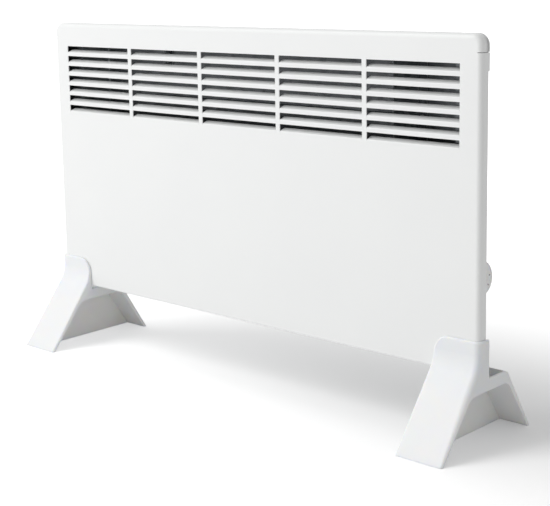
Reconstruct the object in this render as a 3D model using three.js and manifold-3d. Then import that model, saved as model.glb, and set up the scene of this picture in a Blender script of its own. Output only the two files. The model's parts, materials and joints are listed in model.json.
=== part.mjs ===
// Wall panel convector heater on two feet, as separate pieces.
// Millimetres. X runs along the panel, Y from front to back, Z up. The origin is on the floor,
// midway between the feet's front and back edges. "Behind" always means behind the front face.
import * as THREE from 'three';
import { mergeVertices } from 'three/addons/utils/BufferGeometryUtils.js';
import Module from 'manifold-3d';

const wasm = await Module();
wasm.setup();

// ---------------------------------------------------------------- Driving dimensions

const GAP = 0.3; // between two pieces that touch

// Panel
const PANEL_WIDTH = 719;
const PANEL_HEIGHT = 374;
const PANEL_DEPTH = 64;
const FLOOR_GAP = 82.5; // from the floor to the lower edge of the front cover

// Front cover, a pressed steel tray
const COVER_SHEET = 1;
const COVER_DEPTH = 14;
const COVER_EDGE = 6; // drawn radius between the face and the flanges
const COVER_LOWER_EDGE = 2; // tighter bend along the lower edge
const COVER_CORNER = 13; // upper corners, seen from the front
const COVER_LOWER_CORNER = 3;
const RETURN_LIP = 9; // lip turned inwards behind the flanges
const SEAM_DROP = 20; // from the top edge to the seam across each side flange
const SEAM_WIDTH = 0.6;
const HOOD_STEP = 1.2; // how much deeper the flange is above the corner tabs
const TAB_LENGTH = 20; // corner tab, below the seam

// Grille of lanced louvres
const SLOT_LENGTH = 127.5;
const SLOT_HEIGHT = 7.4;
const MULLION = 6.5; // plain strip between two columns
const ROW_PITCH = 13.8;
const GRILLE_DROP = 32; // from the top edge to the first slot
const GRILLE_HEIGHT = 90.2; // from the first slot's top to the last one's bottom
const GRILLE_MARGIN = 20; // least plain strip at each side
const BLADE_LEAN = THREE.MathUtils.degToRad(80);
const BLADE_BEND = 1.6;
const BLADE_CORNER = 4.5; // free corners, seen from above
const BLADE_CUT = 0.4; // width of the lancing cut round a blade
const BLADE_LAP = 0.9; // from a blade's root down into the sheet below its slot

// Rear casing, a steel pan with a wide rim
const CASING_SHEET = 0.8;
const CASING_INSET = 41.5; // from the cover's side to the casing's end wall
const CASING_RISE = 9.5; // from the cover's lower edge to the casing's floor
const CASING_DROP = 12.5; // from the cover's top edge to the casing's roof
const CASING_CORNER = 5;
const CASING_BEND = 4;
const RIM_INSET = 1.8;
const SWAGE_END = 11; // from the partition to the near end of each swage
const SWAGE_WIDTH = 18;
const SWAGE_DEPTH = 2.4;
const SWAGE_PITCH = 62;
const KEYHOLE_SPACING = 400;
const KEYHOLE_DROP = 34; // from the casing's roof to the wide part of each keyhole
const KEYHOLE_RADIUS = 5.5;
const KEYHOLE_SLOT = 2.6;
const KEYHOLE_LENGTH = 11;
const INLET_LENGTH = 34;
const INLET_WIDTH = 7;
const INLET_BRIDGE = 8;
const INLET_ROWS = 3;
const INLET_ROW_PITCH = 14;

// Feet
const FOOT_WIDTH = 62;
const FOOT_WALL = 3;
const FOOT_INNER_EDGE = 2.4; // radius between the front plate and the inner cheek
const FOOT_BACK_EDGE = 1.5; // radius between the back plate and each cheek
const TRAY_BACK_WALL = 4.5; // behind the open tray
const FOOT_FRONT_REACH = 75.5; // floor contact, ahead of the front face
const FOOT_BACK_REACH = 101.5; // floor contact, behind the front face
const FOOT_LIP_HEIGHT = 77.5; // top of the side cheeks, under the panel
const FOOT_ARCH_HEIGHT = 64;
const FOOT_DECK = 3;
const FOOT_BACK_SLANT = THREE.MathUtils.degToRad(32);
const FOOT_SHOULDER = 8;
const FOOT_BEND = 40; // where the front plate turns up against the cover
const FOOT_BEND_RISE = 25.5; // top of that bend, above the cover's lower edge
const SLEEVE_RISE = 39.5; // top of the sleeve, above the cover's lower edge
const SLEEVE_LAP = 2; // how far the sleeve reaches behind the cover's flange
const SLEEVE_CORNER = 20;
const SLEEVE_RIM = 1.3;
const SLEEVE_CORNER_TURN = THREE.MathUtils.degToRad(87); // leaves a flat along the top
const LEG_TOP = 8; // band between the arch and the leg's outer face, at the top
const LEG_FOOT = 5; // the same band on the floor
const ARCH_CORNER = 8;
const WEB_INSET = 38; // from each foot's right-hand side to its web
const BOSS_RADIUS = 5.5;
const BOSS_INSET = 9; // from the casing's end wall to the foot's screw

// Thermostat and its knob
const KNOB_RADIUS = 21;
const KNOB_HEIGHT = 16;
const KNOB_WALL = 2;
const KNOB_STAND_OFF = 2; // between the casing's wall and the knob's skirt
const KNOB_DEPTH = 42; // axis, behind the front face
const KNOB_RISE = 98.5; // axis, above the cover's lower edge
const KNOB_FLUTES = 24;
const KNOB_FLUTE_DEPTH = 0.7;
const SPINDLE_RADIUS = 3;
const SPINDLE_FLAT = 1; // depth of the flat that drives the knob
const BUSH_RADIUS = 5;
const BUSH_REACH = 7;
const NUT_RADIUS = 8;
const NUT_HEIGHT = 3;
const THERMOSTAT_DEPTH = 36;
const THERMOSTAT_HEIGHT = 40;
const THERMOSTAT_LENGTH = 30;

// Main switch
const ROCKER_RISE = 62; // above the knob's axis
const ROCKER_LENGTH = 15;
const ROCKER_WIDTH = 9;
const ROCKER_SWING = THREE.MathUtils.degToRad(10); // either side of level
const ROCKER_PIVOT_DEPTH = 4.5; // pivot, inside the casing's wall
const ROCKER_CROWN = 2.4; // crown of the rocker, outside the casing's wall
const SWITCH_ROOM = 1.3; // room at each end of the rocker
const SWITCH_SIDE_ROOM = 0.6;
const SWITCH_WALL = 1.2;
const SWITCH_DEPTH = 17;
const SWITCH_BEZEL = 2;
const SWITCH_BEZEL_HEIGHT = 1.6;
const PIVOT_RADIUS = 1;

// Heating element and what carries it
const ELEMENT_DEPTH = 36; // axis, behind the front face
const ELEMENT_RISE = 75; // axis, above the cover's lower edge
const ROD_RADIUS = 4;
const ROD_OVERHANG = 16; // beyond each bracket
const WING_LENGTH = 17;
const WING_SHEET = 1.2;
const FIN_PITCH = 18;
const FIN_SLOT = 3;
const FIN_CORE = 6.4;
const FIN_END_GAP = 6;
const BRACKET_SHEET = 1;
const BRACKET_RISE = 46; // above the element's axis
const BRACKET_TOE = 15;
const BRACKET_END = 28; // from the casing's left end wall to the left bracket
const BRACKET_BAY = 27; // from the partition to the right bracket
const ELEMENT_BUSH_RADIUS = 9;
const ELEMENT_BUSH_NECK = 7;
const ELEMENT_BUSH_FLANGE = 3;
const SHIELD_SHEET = 0.5;
const SHIELD_STAND_OFF = 2.5;
const SHIELD_HEIGHT = 150;
const SHIELD_DROP = 50; // from the element's axis down to the shield's lower edge
const SHIELD_LIP = 9;
const CUTOUT_RADIUS = 8;
const CUTOUT_HEIGHT = 8;
const CUTOUT_RISE = 31; // above the element's axis
const CUTOUT_FLANGE = 28;

// Control bay
const CONTROL_BAY = 86; // from the partition to the casing's right end wall
const PARTITION_FLANGE = 12;
const LEAD_HOLE_RADIUS = 8;
const LEAD_HOLE_RISE = 17; // above the element's axis
const BLOCK_WIDTH = 36;
const BLOCK_HEIGHT = 18;
const BLOCK_DEPTH = 14;
const BLOCK_RISE = 26; // above the casing's floor
const GROMMET_NECK = 6;
const GROMMET_FLANGE = 8.5;
const GROMMET_BORE = 4.2;
const GROMMET_THICKNESS = 2;
const BLADE_TERMINAL = 5;
const LEAD_RADIUS = 1.2;

// Fasteners
const COVER_SCREWS_PER_SIDE = 3;
const SCREW_RADIUS = 1.7;
const SCREW_HEAD_RADIUS = 3;
const SCREW_HEAD_HEIGHT = 2;
const SCREW_LENGTH = 7;
const FOOT_SCREW_RADIUS = 2.2;
const FOOT_SCREW_HEAD_RADIUS = 4.2;
const RIVET_RADIUS = 1.6;
const RIVET_HEAD_RADIUS = 2.8;
const RIVET_HEAD_HEIGHT = 1;

// ---------------------------------------------------------------- Derived places

const behind = (distance) => (FOOT_FRONT_REACH - FOOT_BACK_REACH) / 2 + distance;
const coverBottom = FLOOR_GAP;
const coverTop = FLOOR_GAP + PANEL_HEIGHT;
const coverSide = PANEL_WIDTH / 2;
const seamHeight = coverTop - SEAM_DROP;

const columnPitch = SLOT_LENGTH + MULLION;
const columns = Math.floor((PANEL_WIDTH - 2 * GRILLE_MARGIN + MULLION) / columnPitch);
const rows = Math.floor((GRILLE_HEIGHT - SLOT_HEIGHT) / ROW_PITCH + 1.001);

const casingWall = coverSide - CASING_INSET;
const casingInside = casingWall - CASING_SHEET;
const casingFloor = coverBottom + CASING_RISE;
const casingFloorTop = casingFloor + CASING_SHEET;
const casingRoof = coverTop - CASING_DROP;
const casingMouth = COVER_DEPTH + GAP; // distance of the rim behind the front face
const backInside = PANEL_DEPTH - CASING_SHEET;
const backSeat = backInside - GAP; // where a piece rests on the casing's back
const lipInside = coverSide - COVER_SHEET - RETURN_LIP;
const coverScrewX = coverSide - COVER_SHEET - RETURN_LIP / 2;
const screwHole = SCREW_RADIUS + GAP;
const rivetHole = RIVET_RADIUS + GAP;

const footOuter = coverSide + GAP + FOOT_WALL;
const footInner = footOuter - FOOT_WIDTH;
const sleeveTop = coverBottom + SLEEVE_RISE;
const sleeveFront = GAP + FOOT_WALL; // sleeve's face, ahead of the cover's
const bendTop = coverBottom + FOOT_BEND_RISE;
const deckTop = FOOT_ARCH_HEIGHT + FOOT_DECK;
const footScrewX = casingWall - BOSS_INSET;
const footScrewY = behind((casingMouth + PANEL_DEPTH) / 2);

const knobAxis = { y: behind(KNOB_DEPTH), z: coverBottom + KNOB_RISE };
const knobBack = casingWall + KNOB_STAND_OFF;
const knobFace = knobBack + KNOB_HEIGHT;
const bushHole = SPINDLE_RADIUS + GAP;
const bushEnd = casingWall + BUSH_REACH;
const spindleStart = casingInside - THERMOSTAT_LENGTH / 2;
const thermostatSeat = casingInside - GAP;
const thermostatBack = thermostatSeat - THERMOSTAT_LENGTH;
const flatStart = bushEnd + GAP;

const rockerZ = knobAxis.z + ROCKER_RISE;
const rockerPivotX = casingWall - ROCKER_PIVOT_DEPTH;
const switchHalfLength = ROCKER_LENGTH / 2 + SWITCH_ROOM;
const switchHalfWidth = ROCKER_WIDTH / 2 + SWITCH_SIDE_ROOM;
const switchBodyLength = switchHalfLength + SWITCH_WALL;
const switchBodyWidth = switchHalfWidth + SWITCH_WALL;
const switchBack = casingWall - SWITCH_DEPTH;

const elementY = behind(ELEMENT_DEPTH);
const elementZ = coverBottom + ELEMENT_RISE;
const partitionRight = casingWall - CONTROL_BAY;
const partitionLeft = partitionRight - BRACKET_SHEET;
const rightBracketX = partitionLeft - BRACKET_BAY; // left face of the right bracket
const leftBracketX = -casingWall + BRACKET_END; // left face of the left bracket
const rodLeft = leftBracketX - ROD_OVERHANG;
const rodRight = rightBracketX + BRACKET_SHEET + ROD_OVERHANG;
const bushHalf = BRACKET_SHEET / 2 + GAP + ELEMENT_BUSH_FLANGE;
const finsLeft = leftBracketX + BRACKET_SHEET / 2 + bushHalf + FIN_END_GAP;
const finsRight = rightBracketX + BRACKET_SHEET / 2 - bushHalf - FIN_END_GAP;
const bracketSeat = casingFloorTop + GAP;
const bracketFoot = bracketSeat + BRACKET_SHEET;
const shieldFace = backSeat - SHIELD_STAND_OFF - SHIELD_SHEET;
const shieldBottom = elementZ - SHIELD_DROP;
const shieldTop = shieldBottom + SHIELD_HEIGHT;
const shieldLeft = leftBracketX + BRACKET_SHEET + BRACKET_TOE;
const shieldRight = rightBracketX - BRACKET_TOE;
const cutoutZ = elementZ + CUTOUT_RISE;
const cutoutSeat = rightBracketX + BRACKET_SHEET + GAP;
const cutoutTop = cutoutSeat + BRACKET_SHEET + CUTOUT_HEIGHT;
const leadHoleZ = elementZ + LEAD_HOLE_RISE;
const blockCentreX = partitionRight + CONTROL_BAY / 2;
const blockBottom = casingFloorTop + BLOCK_RISE;
const blockTop = blockBottom + BLOCK_HEIGHT;
const grommetX = blockCentreX;
const grommetY = behind((casingMouth + backInside) / 2);

// ---------------------------------------------------------------- Solids from geometry

// Coordinates are multiples of this step, which 32-bit numbers hold exactly, so that faces
// of different solids that lie in one plane stay in it.
const COORDINATE_STEP = 2 ** -14;

// Merges a geometry's shared vertices and turns it into a solid with its faces pointing out.
function solid(geometry) {
  const bare = geometry.clone();
  bare.deleteAttribute('normal');
  bare.deleteAttribute('uv');
  const merged = mergeVertices(bare, 1e-4);
  const onStep = (value) => Math.round(value / COORDINATE_STEP) * COORDINATE_STEP;
  const points = merged.getAttribute('position').array.map(onStep);
  const corner = (i) => new THREE.Vector3().fromArray(points, 3 * i);
  const triangles = [];
  let volume = 0;
  for (let i = 0; i < merged.index.count; i += 3) {
    const [a, b, c] = [0, 1, 2].map((k) => merged.index.getX(i + k));
    if (a === b || b === c || c === a) continue;
    triangles.push([a, b, c]);
    volume += corner(a).dot(corner(b).cross(corner(c)));
  }
  const outward = volume > 0 ? triangles : triangles.map(([a, b, c]) => [a, c, b]);
  return new wasm.Manifold(new wasm.Mesh({
    numProp: 3,
    vertProperties: new Float32Array(points),
    triVerts: new Uint32Array(outward.flat()),
  }));
}

function block([x0, x1], [y0, y1], [z0, z1]) {
  const box = new THREE.BoxGeometry(x1 - x0, y1 - y0, z1 - z0);
  return solid(box.translate((x0 + x1) / 2, (y0 + y1) / 2, (z0 + z1) / 2));
}

// Frames whose third direction is the one that a profile is extruded or turned along.
const FRAMES = {
  x: [[0, 1, 0], [0, 0, 1], [1, 0, 0]],
  y: [[0, 0, 1], [1, 0, 0], [0, 1, 0]],
  z: [[1, 0, 0], [0, 1, 0], [0, 0, 1]],
};

function frameOf(axis) {
  const [u, v, w] = FRAMES[axis].map((direction) => new THREE.Vector3(...direction));
  return new THREE.Matrix4().makeBasis(u, v, w);
}

// Extrudes a shape along an axis. Its two coordinates are y,z along x; z,x along y; x,y along z.
function extruded(shape, axis, from, to, curveSegments = 6) {
  const options = { depth: to - from, bevelEnabled: false, curveSegments };
  const prism = new THREE.ExtrudeGeometry(shape, options);
  return solid(prism.translate(0, 0, from).applyMatrix4(frameOf(axis)));
}

// Turns a closed profile of [radius, height] points about a line along an axis.
function turned(profile, axis, centre, segments = 16) {
  const points = profile.map(([radius, height]) => new THREE.Vector2(radius, height));
  const lathe = new THREE.LatheGeometry(points, segments).rotateX(Math.PI / 2);
  return solid(lathe.applyMatrix4(frameOf(axis)).translate(...centre));
}

function cylinder(axis, radius, from, to, centre, segments = 16) {
  const profile = [[0, from], [radius, from], [radius, to], [0, to]];
  return turned(profile, axis, centre, segments);
}

// Joins closed rings of points, each convex and with the same count, into one solid.
function loft(rings) {
  const count = rings[0].length;
  const faces = [];
  for (let r = 0; r + 1 < rings.length; r += 1) {
    for (let i = 0; i < count; i += 1) {
      const a = r * count + i;
      const b = r * count + ((i + 1) % count);
      faces.push(a, b, b + count, a, b + count, a + count);
    }
  }
  const last = (rings.length - 1) * count;
  for (let i = 1; i + 1 < count; i += 1) {
    faces.push(0, i + 1, i, last, last + i, last + i + 1);
  }
  const geometry = new THREE.BufferGeometry();
  geometry.setAttribute('position', new THREE.Float32BufferAttribute(rings.flat(2), 3));
  geometry.setIndex(faces);
  return solid(geometry);
}

// A rectangle with its own radius at each corner, as points running anticlockwise.
// Radii are given for low-low, high-low, high-high and low-high.
function roundedOutline([u0, u1], [v0, v1], radii, steps = 4) {
  const centres = [[u0, v0], [u1, v0], [u1, v1], [u0, v1]];
  const inward = [[1, 1], [-1, 1], [-1, -1], [1, -1]];
  return radii.flatMap((radius, corner) => {
    const [cu, cv] = [0, 1].map((k) => centres[corner][k] + inward[corner][k] * radius);
    return Array.from({ length: steps + 1 }, (_, i) => {
      const angle = Math.PI * (1 + corner / 2) + (Math.PI / 2) * (i / steps);
      return [cu + radius * Math.cos(angle), cv + radius * Math.sin(angle)];
    });
  });
}

const union = (solids) => solids.reduce((whole, piece) => whole.add(piece));
const carved = (body, tools) => body.subtract(union(tools));

// ---------------------------------------------------------------- Pressed sheet pans

// How far a bend of a given radius draws the outline in, at a distance below its face.
function bendInset(bend, distance) {
  if (distance >= bend) return 0;
  return bend - Math.sqrt(bend ** 2 - (bend - distance) ** 2);
}

// The outer form of a pan: a flat face, a rounded edge and straight flanges down to its mouth.
// face and mouth are distances behind the front face of the panel.
function panForm({ side, bottom, top, corner, lowerCorner, bend, lowerBend, face, mouth, offset = 0 }) {
  const grow = (value) => Math.max(value + offset, 0.4);
  const away = Math.sign(mouth - face);
  const start = face - away * offset;
  const steps = 4;
  const depths = Array.from({ length: steps + 1 }, (_, i) => {
    return grow(bend) * (1 - Math.cos((Math.PI / 2) * (i / steps)));
  });
  depths.push(Math.abs(mouth - start));
  const rings = depths.map((distance) => {
    const inset = bendInset(grow(bend), distance);
    const lower = bendInset(grow(lowerBend), distance);
    const halfWidth = side + offset - inset;
    const upperRadius = Math.max(corner + offset - inset, 0.4);
    const lowerRadius = Math.max(lowerCorner + offset - inset, 0.4);
    const outline = roundedOutline(
      [-halfWidth, halfWidth],
      [bottom - offset + lower, top + offset - inset],
      [lowerRadius, lowerRadius, upperRadius, upperRadius],
    );
    const y = behind(start + away * distance);
    return outline.map(([x, z]) => [x, y, z]);
  });
  return loft(rings);
}

const coverForm = (offset, mouth) => panForm({
  side: coverSide,
  bottom: coverBottom,
  top: coverTop,
  corner: COVER_CORNER,
  lowerCorner: COVER_LOWER_CORNER,
  bend: COVER_EDGE,
  lowerBend: COVER_LOWER_EDGE,
  face: 0,
  mouth,
  offset,
});

const casingForm = (offset, mouth) => panForm({
  side: casingWall,
  bottom: casingFloor,
  top: casingRoof,
  corner: CASING_CORNER,
  lowerCorner: CASING_CORNER,
  bend: CASING_BEND,
  lowerBend: CASING_BEND,
  face: PANEL_DEPTH,
  mouth,
  offset,
});

// A flat plate with the cover's outline, drawn in by an inset.
function coverOutlinePlate(inset, from, to) {
  const half = coverSide - inset;
  const upper = Math.max(COVER_CORNER - inset, 1);
  const lower = Math.max(COVER_LOWER_CORNER - inset, 1);
  const outline = roundedOutline(
    [-half, half],
    [coverBottom + inset, coverTop - inset],
    [lower, lower, upper, upper],
  );
  return loft([from, to].map((distance) => outline.map(([x, z]) => [x, behind(distance), z])));
}

// ---------------------------------------------------------------- Front cover

// One louvre blade: the strip below a slot's upper edge, bent inwards about the slot's lower edge.
function louvreBlade(centreX, slotBottom) {
  const length = SLOT_HEIGHT - BLADE_CUT;
  const straight = length - BLADE_BEND * BLADE_LEAN;
  const half = SLOT_LENGTH / 2 - BLADE_CUT;
  const stations = [{ y: 0, z: slotBottom - BLADE_LAP, turn: 0, half }];
  const bendSteps = 3;
  for (let i = 0; i <= bendSteps; i += 1) {
    const turn = BLADE_LEAN * (i / bendSteps);
    const y = BLADE_BEND * (1 - Math.cos(turn));
    stations.push({ y, z: slotBottom + BLADE_BEND * Math.sin(turn), turn, half });
  }
  const root = stations.at(-1);
  const cornerSteps = 3;
  for (let i = 0; i <= cornerSteps; i += 1) {
    const angle = (Math.PI / 2) * (i / cornerSteps);
    const along = straight - BLADE_CORNER * (1 - Math.sin(angle));
    stations.push({
      y: root.y + along * Math.sin(BLADE_LEAN),
      z: root.z + along * Math.cos(BLADE_LEAN),
      turn: BLADE_LEAN,
      half: half - BLADE_CORNER * (1 - Math.cos(angle)),
    });
  }
  return loft(stations.map((station) => {
    const backY = station.y + COVER_SHEET * Math.cos(station.turn);
    const backZ = station.z - COVER_SHEET * Math.sin(station.turn);
    return [
      [centreX - station.half, behind(station.y), station.z],
      [centreX + station.half, behind(station.y), station.z],
      [centreX + station.half, behind(backY), backZ],
      [centreX - station.half, behind(backY), backZ],
    ];
  }));
}

function frontCover() {
  const deepest = COVER_DEPTH + HOOD_STEP;
  const shell = carved(coverForm(0, deepest), [
    coverForm(-COVER_SHEET, COVER_DEPTH - COVER_SHEET),
    coverOutlinePlate(COVER_SHEET + RETURN_LIP, COVER_DEPTH / 2, deepest + 1),
    coverOutlinePlate(COVER_SHEET, COVER_DEPTH, deepest + 1),
  ]);
  const tabBottom = seamHeight - TAB_LENGTH;
  const wide = [-coverSide - 1, coverSide + 1];
  const cuts = [block(wide, [behind(COVER_DEPTH), behind(deepest + 1)], [coverBottom - 1, tabBottom])];
  for (const side of [-1, 1]) {
    const reach = [side * (coverSide - COVER_EDGE), side * (coverSide + 1)].sort((a, b) => a - b);
    const seam = [seamHeight - SEAM_WIDTH / 2, seamHeight + SEAM_WIDTH / 2];
    cuts.push(block(reach, [behind(-1), behind(COVER_DEPTH)], seam));
    for (const z of coverScrewHeights()) {
      const centre = [side * coverScrewX, 0, z];
      cuts.push(cylinder('y', screwHole, behind(COVER_DEPTH - 2), behind(COVER_DEPTH + 1), centre, 10));
    }
  }
  const blades = [];
  for (let column = 0; column < columns; column += 1) {
    const centreX = (column - (columns - 1) / 2) * columnPitch;
    const length = [centreX - SLOT_LENGTH / 2, centreX + SLOT_LENGTH / 2];
    for (let row = 0; row < rows; row += 1) {
      const slotTop = coverTop - GRILLE_DROP - row * ROW_PITCH;
      const slotBottom = slotTop - SLOT_HEIGHT;
      cuts.push(block(length, [behind(-1), behind(COVER_SHEET + 1)], [slotBottom, slotTop]));
      blades.push(louvreBlade(centreX, slotBottom));
    }
  }
  return carved(shell, cuts).add(union(blades));
}

function coverScrewHeights() {
  const lowest = sleeveTop + SLEEVE_CORNER;
  const highest = coverTop - COVER_CORNER - SCREW_HEAD_RADIUS;
  const pitch = (highest - lowest) / (COVER_SCREWS_PER_SIDE - 1);
  return Array.from({ length: COVER_SCREWS_PER_SIDE }, (_, i) => lowest + i * pitch);
}

// ---------------------------------------------------------------- Rear casing

function swageForm(z, offset) {
  return panForm({
    side: partitionLeft - SWAGE_END,
    bottom: z - SWAGE_WIDTH / 2,
    top: z + SWAGE_WIDTH / 2,
    corner: SWAGE_WIDTH / 2,
    lowerCorner: SWAGE_WIDTH / 2,
    bend: SWAGE_DEPTH,
    lowerBend: SWAGE_DEPTH,
    face: PANEL_DEPTH - SWAGE_DEPTH,
    mouth: PANEL_DEPTH + 1,
    offset,
  });
}

function keyhole(x) {
  const z = casingRoof - KEYHOLE_DROP;
  const lift = Math.asin(KEYHOLE_SLOT / KEYHOLE_RADIUS);
  const shape = new THREE.Shape();
  shape.absarc(z, x, KEYHOLE_RADIUS, lift, 2 * Math.PI - lift, false);
  shape.lineTo(z + KEYHOLE_LENGTH, x - KEYHOLE_SLOT);
  shape.absarc(z + KEYHOLE_LENGTH, x, KEYHOLE_SLOT, -Math.PI / 2, Math.PI / 2, false);
  return extruded(shape, 'y', behind(backInside - 1), behind(PANEL_DEPTH + 1), 5);
}

// Air inlet slots in the casing's floor, in rows below the element.
function inletSlots() {
  const pitch = INLET_LENGTH + INLET_BRIDGE;
  const count = Math.floor((shieldRight - shieldLeft + INLET_BRIDGE) / pitch);
  const first = (shieldLeft + shieldRight) / 2 - ((count - 1) * pitch) / 2;
  const through = [casingFloor - 1, casingFloorTop + 1];
  const slots = [];
  for (let row = 0; row < INLET_ROWS; row += 1) {
    const y = elementY + (row - (INLET_ROWS - 1) / 2) * INLET_ROW_PITCH;
    for (let i = 0; i < count; i += 1) {
      const x = first + i * pitch;
      const length = [x - INLET_LENGTH / 2, x + INLET_LENGTH / 2];
      slots.push(block(length, [y - INLET_WIDTH / 2, y + INLET_WIDTH / 2], through));
    }
  }
  return slots;
}

// Holes in the casing's end wall for the thermostat's bush and the switch.
function controlHoles() {
  const through = [casingInside - 1, casingWall + 1];
  const centre = [0, knobAxis.y, knobAxis.z];
  const halfWidth = switchBodyWidth + GAP;
  const halfLength = switchBodyLength + GAP;
  return [
    cylinder('x', BUSH_RADIUS + GAP, ...through, centre),
    block(
      through,
      [knobAxis.y - halfWidth, knobAxis.y + halfWidth],
      [rockerZ - halfLength, rockerZ + halfLength],
    ),
  ];
}

function casingFastenerHoles() {
  const back = [behind(backInside - 1), behind(PANEL_DEPTH + 1)];
  const floor = [casingFloor - 1, casingFloorTop + 1];
  const rim = [behind(casingMouth - 1), behind(casingMouth + CASING_SHEET + 1)];
  const holes = [
    cylinder('z', GROMMET_NECK + GAP, ...floor, [grommetX, grommetY, 0]),
    cylinder('y', screwHole, ...back, [earthScrew.x, 0, earthScrew.z], 10),
  ];
  for (const side of [-1, 1]) {
    holes.push(cylinder('z', FOOT_SCREW_RADIUS + GAP, ...floor, [side * footScrewX, footScrewY, 0], 12));
    for (const z of coverScrewHeights()) {
      holes.push(cylinder('y', screwHole, ...rim, [side * coverScrewX, 0, z], 10));
    }
  }
  for (const x of bracketScrewPlaces()) {
    holes.push(cylinder('z', screwHole, ...floor, [x, elementY, 0], 10));
  }
  for (const z of partitionScrewHeights()) {
    holes.push(cylinder('y', screwHole, ...back, [partitionScrewX, 0, z], 10));
  }
  for (const { x, z } of shieldRivetPlaces()) {
    holes.push(cylinder('y', rivetHole, ...back, [x, 0, z], 10));
  }
  return holes;
}

function rearCasing() {
  const swages = [1, 2].map((i) => casingRoof - KEYHOLE_DROP - i * SWAGE_PITCH);
  const hollow = swages.reduce(
    (room, z) => room.subtract(swageForm(z, CASING_SHEET)),
    casingForm(-CASING_SHEET, casingMouth - 1),
  );
  const rim = coverOutlinePlate(RIM_INSET, casingMouth, casingMouth + CASING_SHEET);
  const pan = casingForm(0, casingMouth).add(rim);
  return carved(pan, [
    hollow,
    ...swages.map((z) => swageForm(z, 0)),
    ...[-1, 1].map((side) => keyhole((side * KEYHOLE_SPACING) / 2)),
    ...inletSlots(),
    ...controlHoles(),
    ...casingFastenerHoles(),
  ]);
}

// ---------------------------------------------------------------- Feet

// The front plate is a straight slant up to a bend, tangent to it, then upright along the cover.
// Both functions give a distance behind the front face at a height above the floor.
const bendCentre = -sleeveFront - FOOT_BEND;
const toBend = new THREE.Vector2(FOOT_FRONT_REACH + bendCentre, bendTop);
const frontSlant = Math.atan2(toBend.x, toBend.y) + Math.asin(FOOT_BEND / toBend.length());
const bendFoot = bendTop - FOOT_BEND * Math.sin(frontSlant);

function footFront(height) {
  if (height >= bendTop) return -sleeveFront;
  if (height <= bendFoot) return -FOOT_FRONT_REACH + height * Math.tan(frontSlant);
  return bendCentre + Math.sqrt(FOOT_BEND ** 2 - (bendTop - height) ** 2);
}

function footBack(height) {
  return FOOT_BACK_REACH - height * Math.tan(FOOT_BACK_SLANT);
}

// The round shoulder at the top of the back plate.
const shoulderHeight = FOOT_LIP_HEIGHT - FOOT_SHOULDER;
const shoulderBack = footBack(shoulderHeight) - FOOT_SHOULDER / Math.cos(FOOT_BACK_SLANT);

// A horizontal section of a foot. Outward distances are measured from the panel's middle.
function footSection(side, height, back, { inner = footInner, rim = 0 } = {}) {
  const share = Math.min(height / bendTop, 1);
  const outerRadius = THREE.MathUtils.lerp(FOOT_WALL, COVER_EDGE + FOOT_WALL, share);
  const outline = roundedOutline(
    [inner + rim, footOuter - rim],
    [footFront(height) + rim, back],
    [FOOT_INNER_EDGE, outerRadius - rim, FOOT_BACK_EDGE, FOOT_BACK_EDGE],
    4,
  );
  return outline.map(([x, distance]) => [side * x, behind(distance), height]);
}

function footBody(side) {
  const heights = [0, shoulderHeight + FOOT_SHOULDER * Math.sin(FOOT_BACK_SLANT)];
  const rings = heights.map((height) => footSection(side, height, footBack(height)));
  const steps = 4;
  for (let i = 1; i <= steps; i += 1) {
    const angle = THREE.MathUtils.lerp(FOOT_BACK_SLANT, Math.PI / 2, i / steps);
    const height = shoulderHeight + FOOT_SHOULDER * Math.sin(angle);
    rings.push(footSection(side, height, shoulderBack + FOOT_SHOULDER * Math.cos(angle)));
  }
  return loft(rings);
}

// The sleeve goes up in front of the cover and round its edge, with a round upper inner corner.
function footSleeve(side) {
  const back = COVER_DEPTH + SLEEVE_LAP;
  const steps = 5;
  const rings = [
    footSection(side, FOOT_LIP_HEIGHT - FOOT_WALL, back, { rim: SLEEVE_RIM }),
    footSection(side, FOOT_LIP_HEIGHT, back),
  ];
  for (let i = steps; i > 0; i -= 1) {
    const height = bendTop - FOOT_BEND * Math.sin(frontSlant * (i / steps));
    rings.push(footSection(side, height, back));
  }
  const cornerStart = sleeveTop - SLEEVE_CORNER;
  for (let i = 0; i <= steps; i += 1) {
    const angle = SLEEVE_CORNER_TURN * (i / steps);
    const height = cornerStart + SLEEVE_CORNER * Math.sin(angle);
    const inner = footInner + SLEEVE_CORNER * (1 - Math.cos(angle));
    const rim = Math.max(0, SLEEVE_RIM - (sleeveTop - height));
    if (height > rings.at(-1)[0][2]) rings.push(footSection(side, height, back, { inner, rim }));
  }
  return loft(rings);
}

// Takes a polygon of [distance behind the front face, height] points to a shape for the x axis.
function sideShape(points) {
  return new THREE.Shape(points.map(([distance, z]) => new THREE.Vector2(behind(distance), z)));
}

function extrudeBetween(shape, side, from, to, curveSegments) {
  const [low, high] = [side * from, side * to].sort((a, b) => a - b);
  return extruded(shape, 'x', low, high, curveSegments);
}

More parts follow.
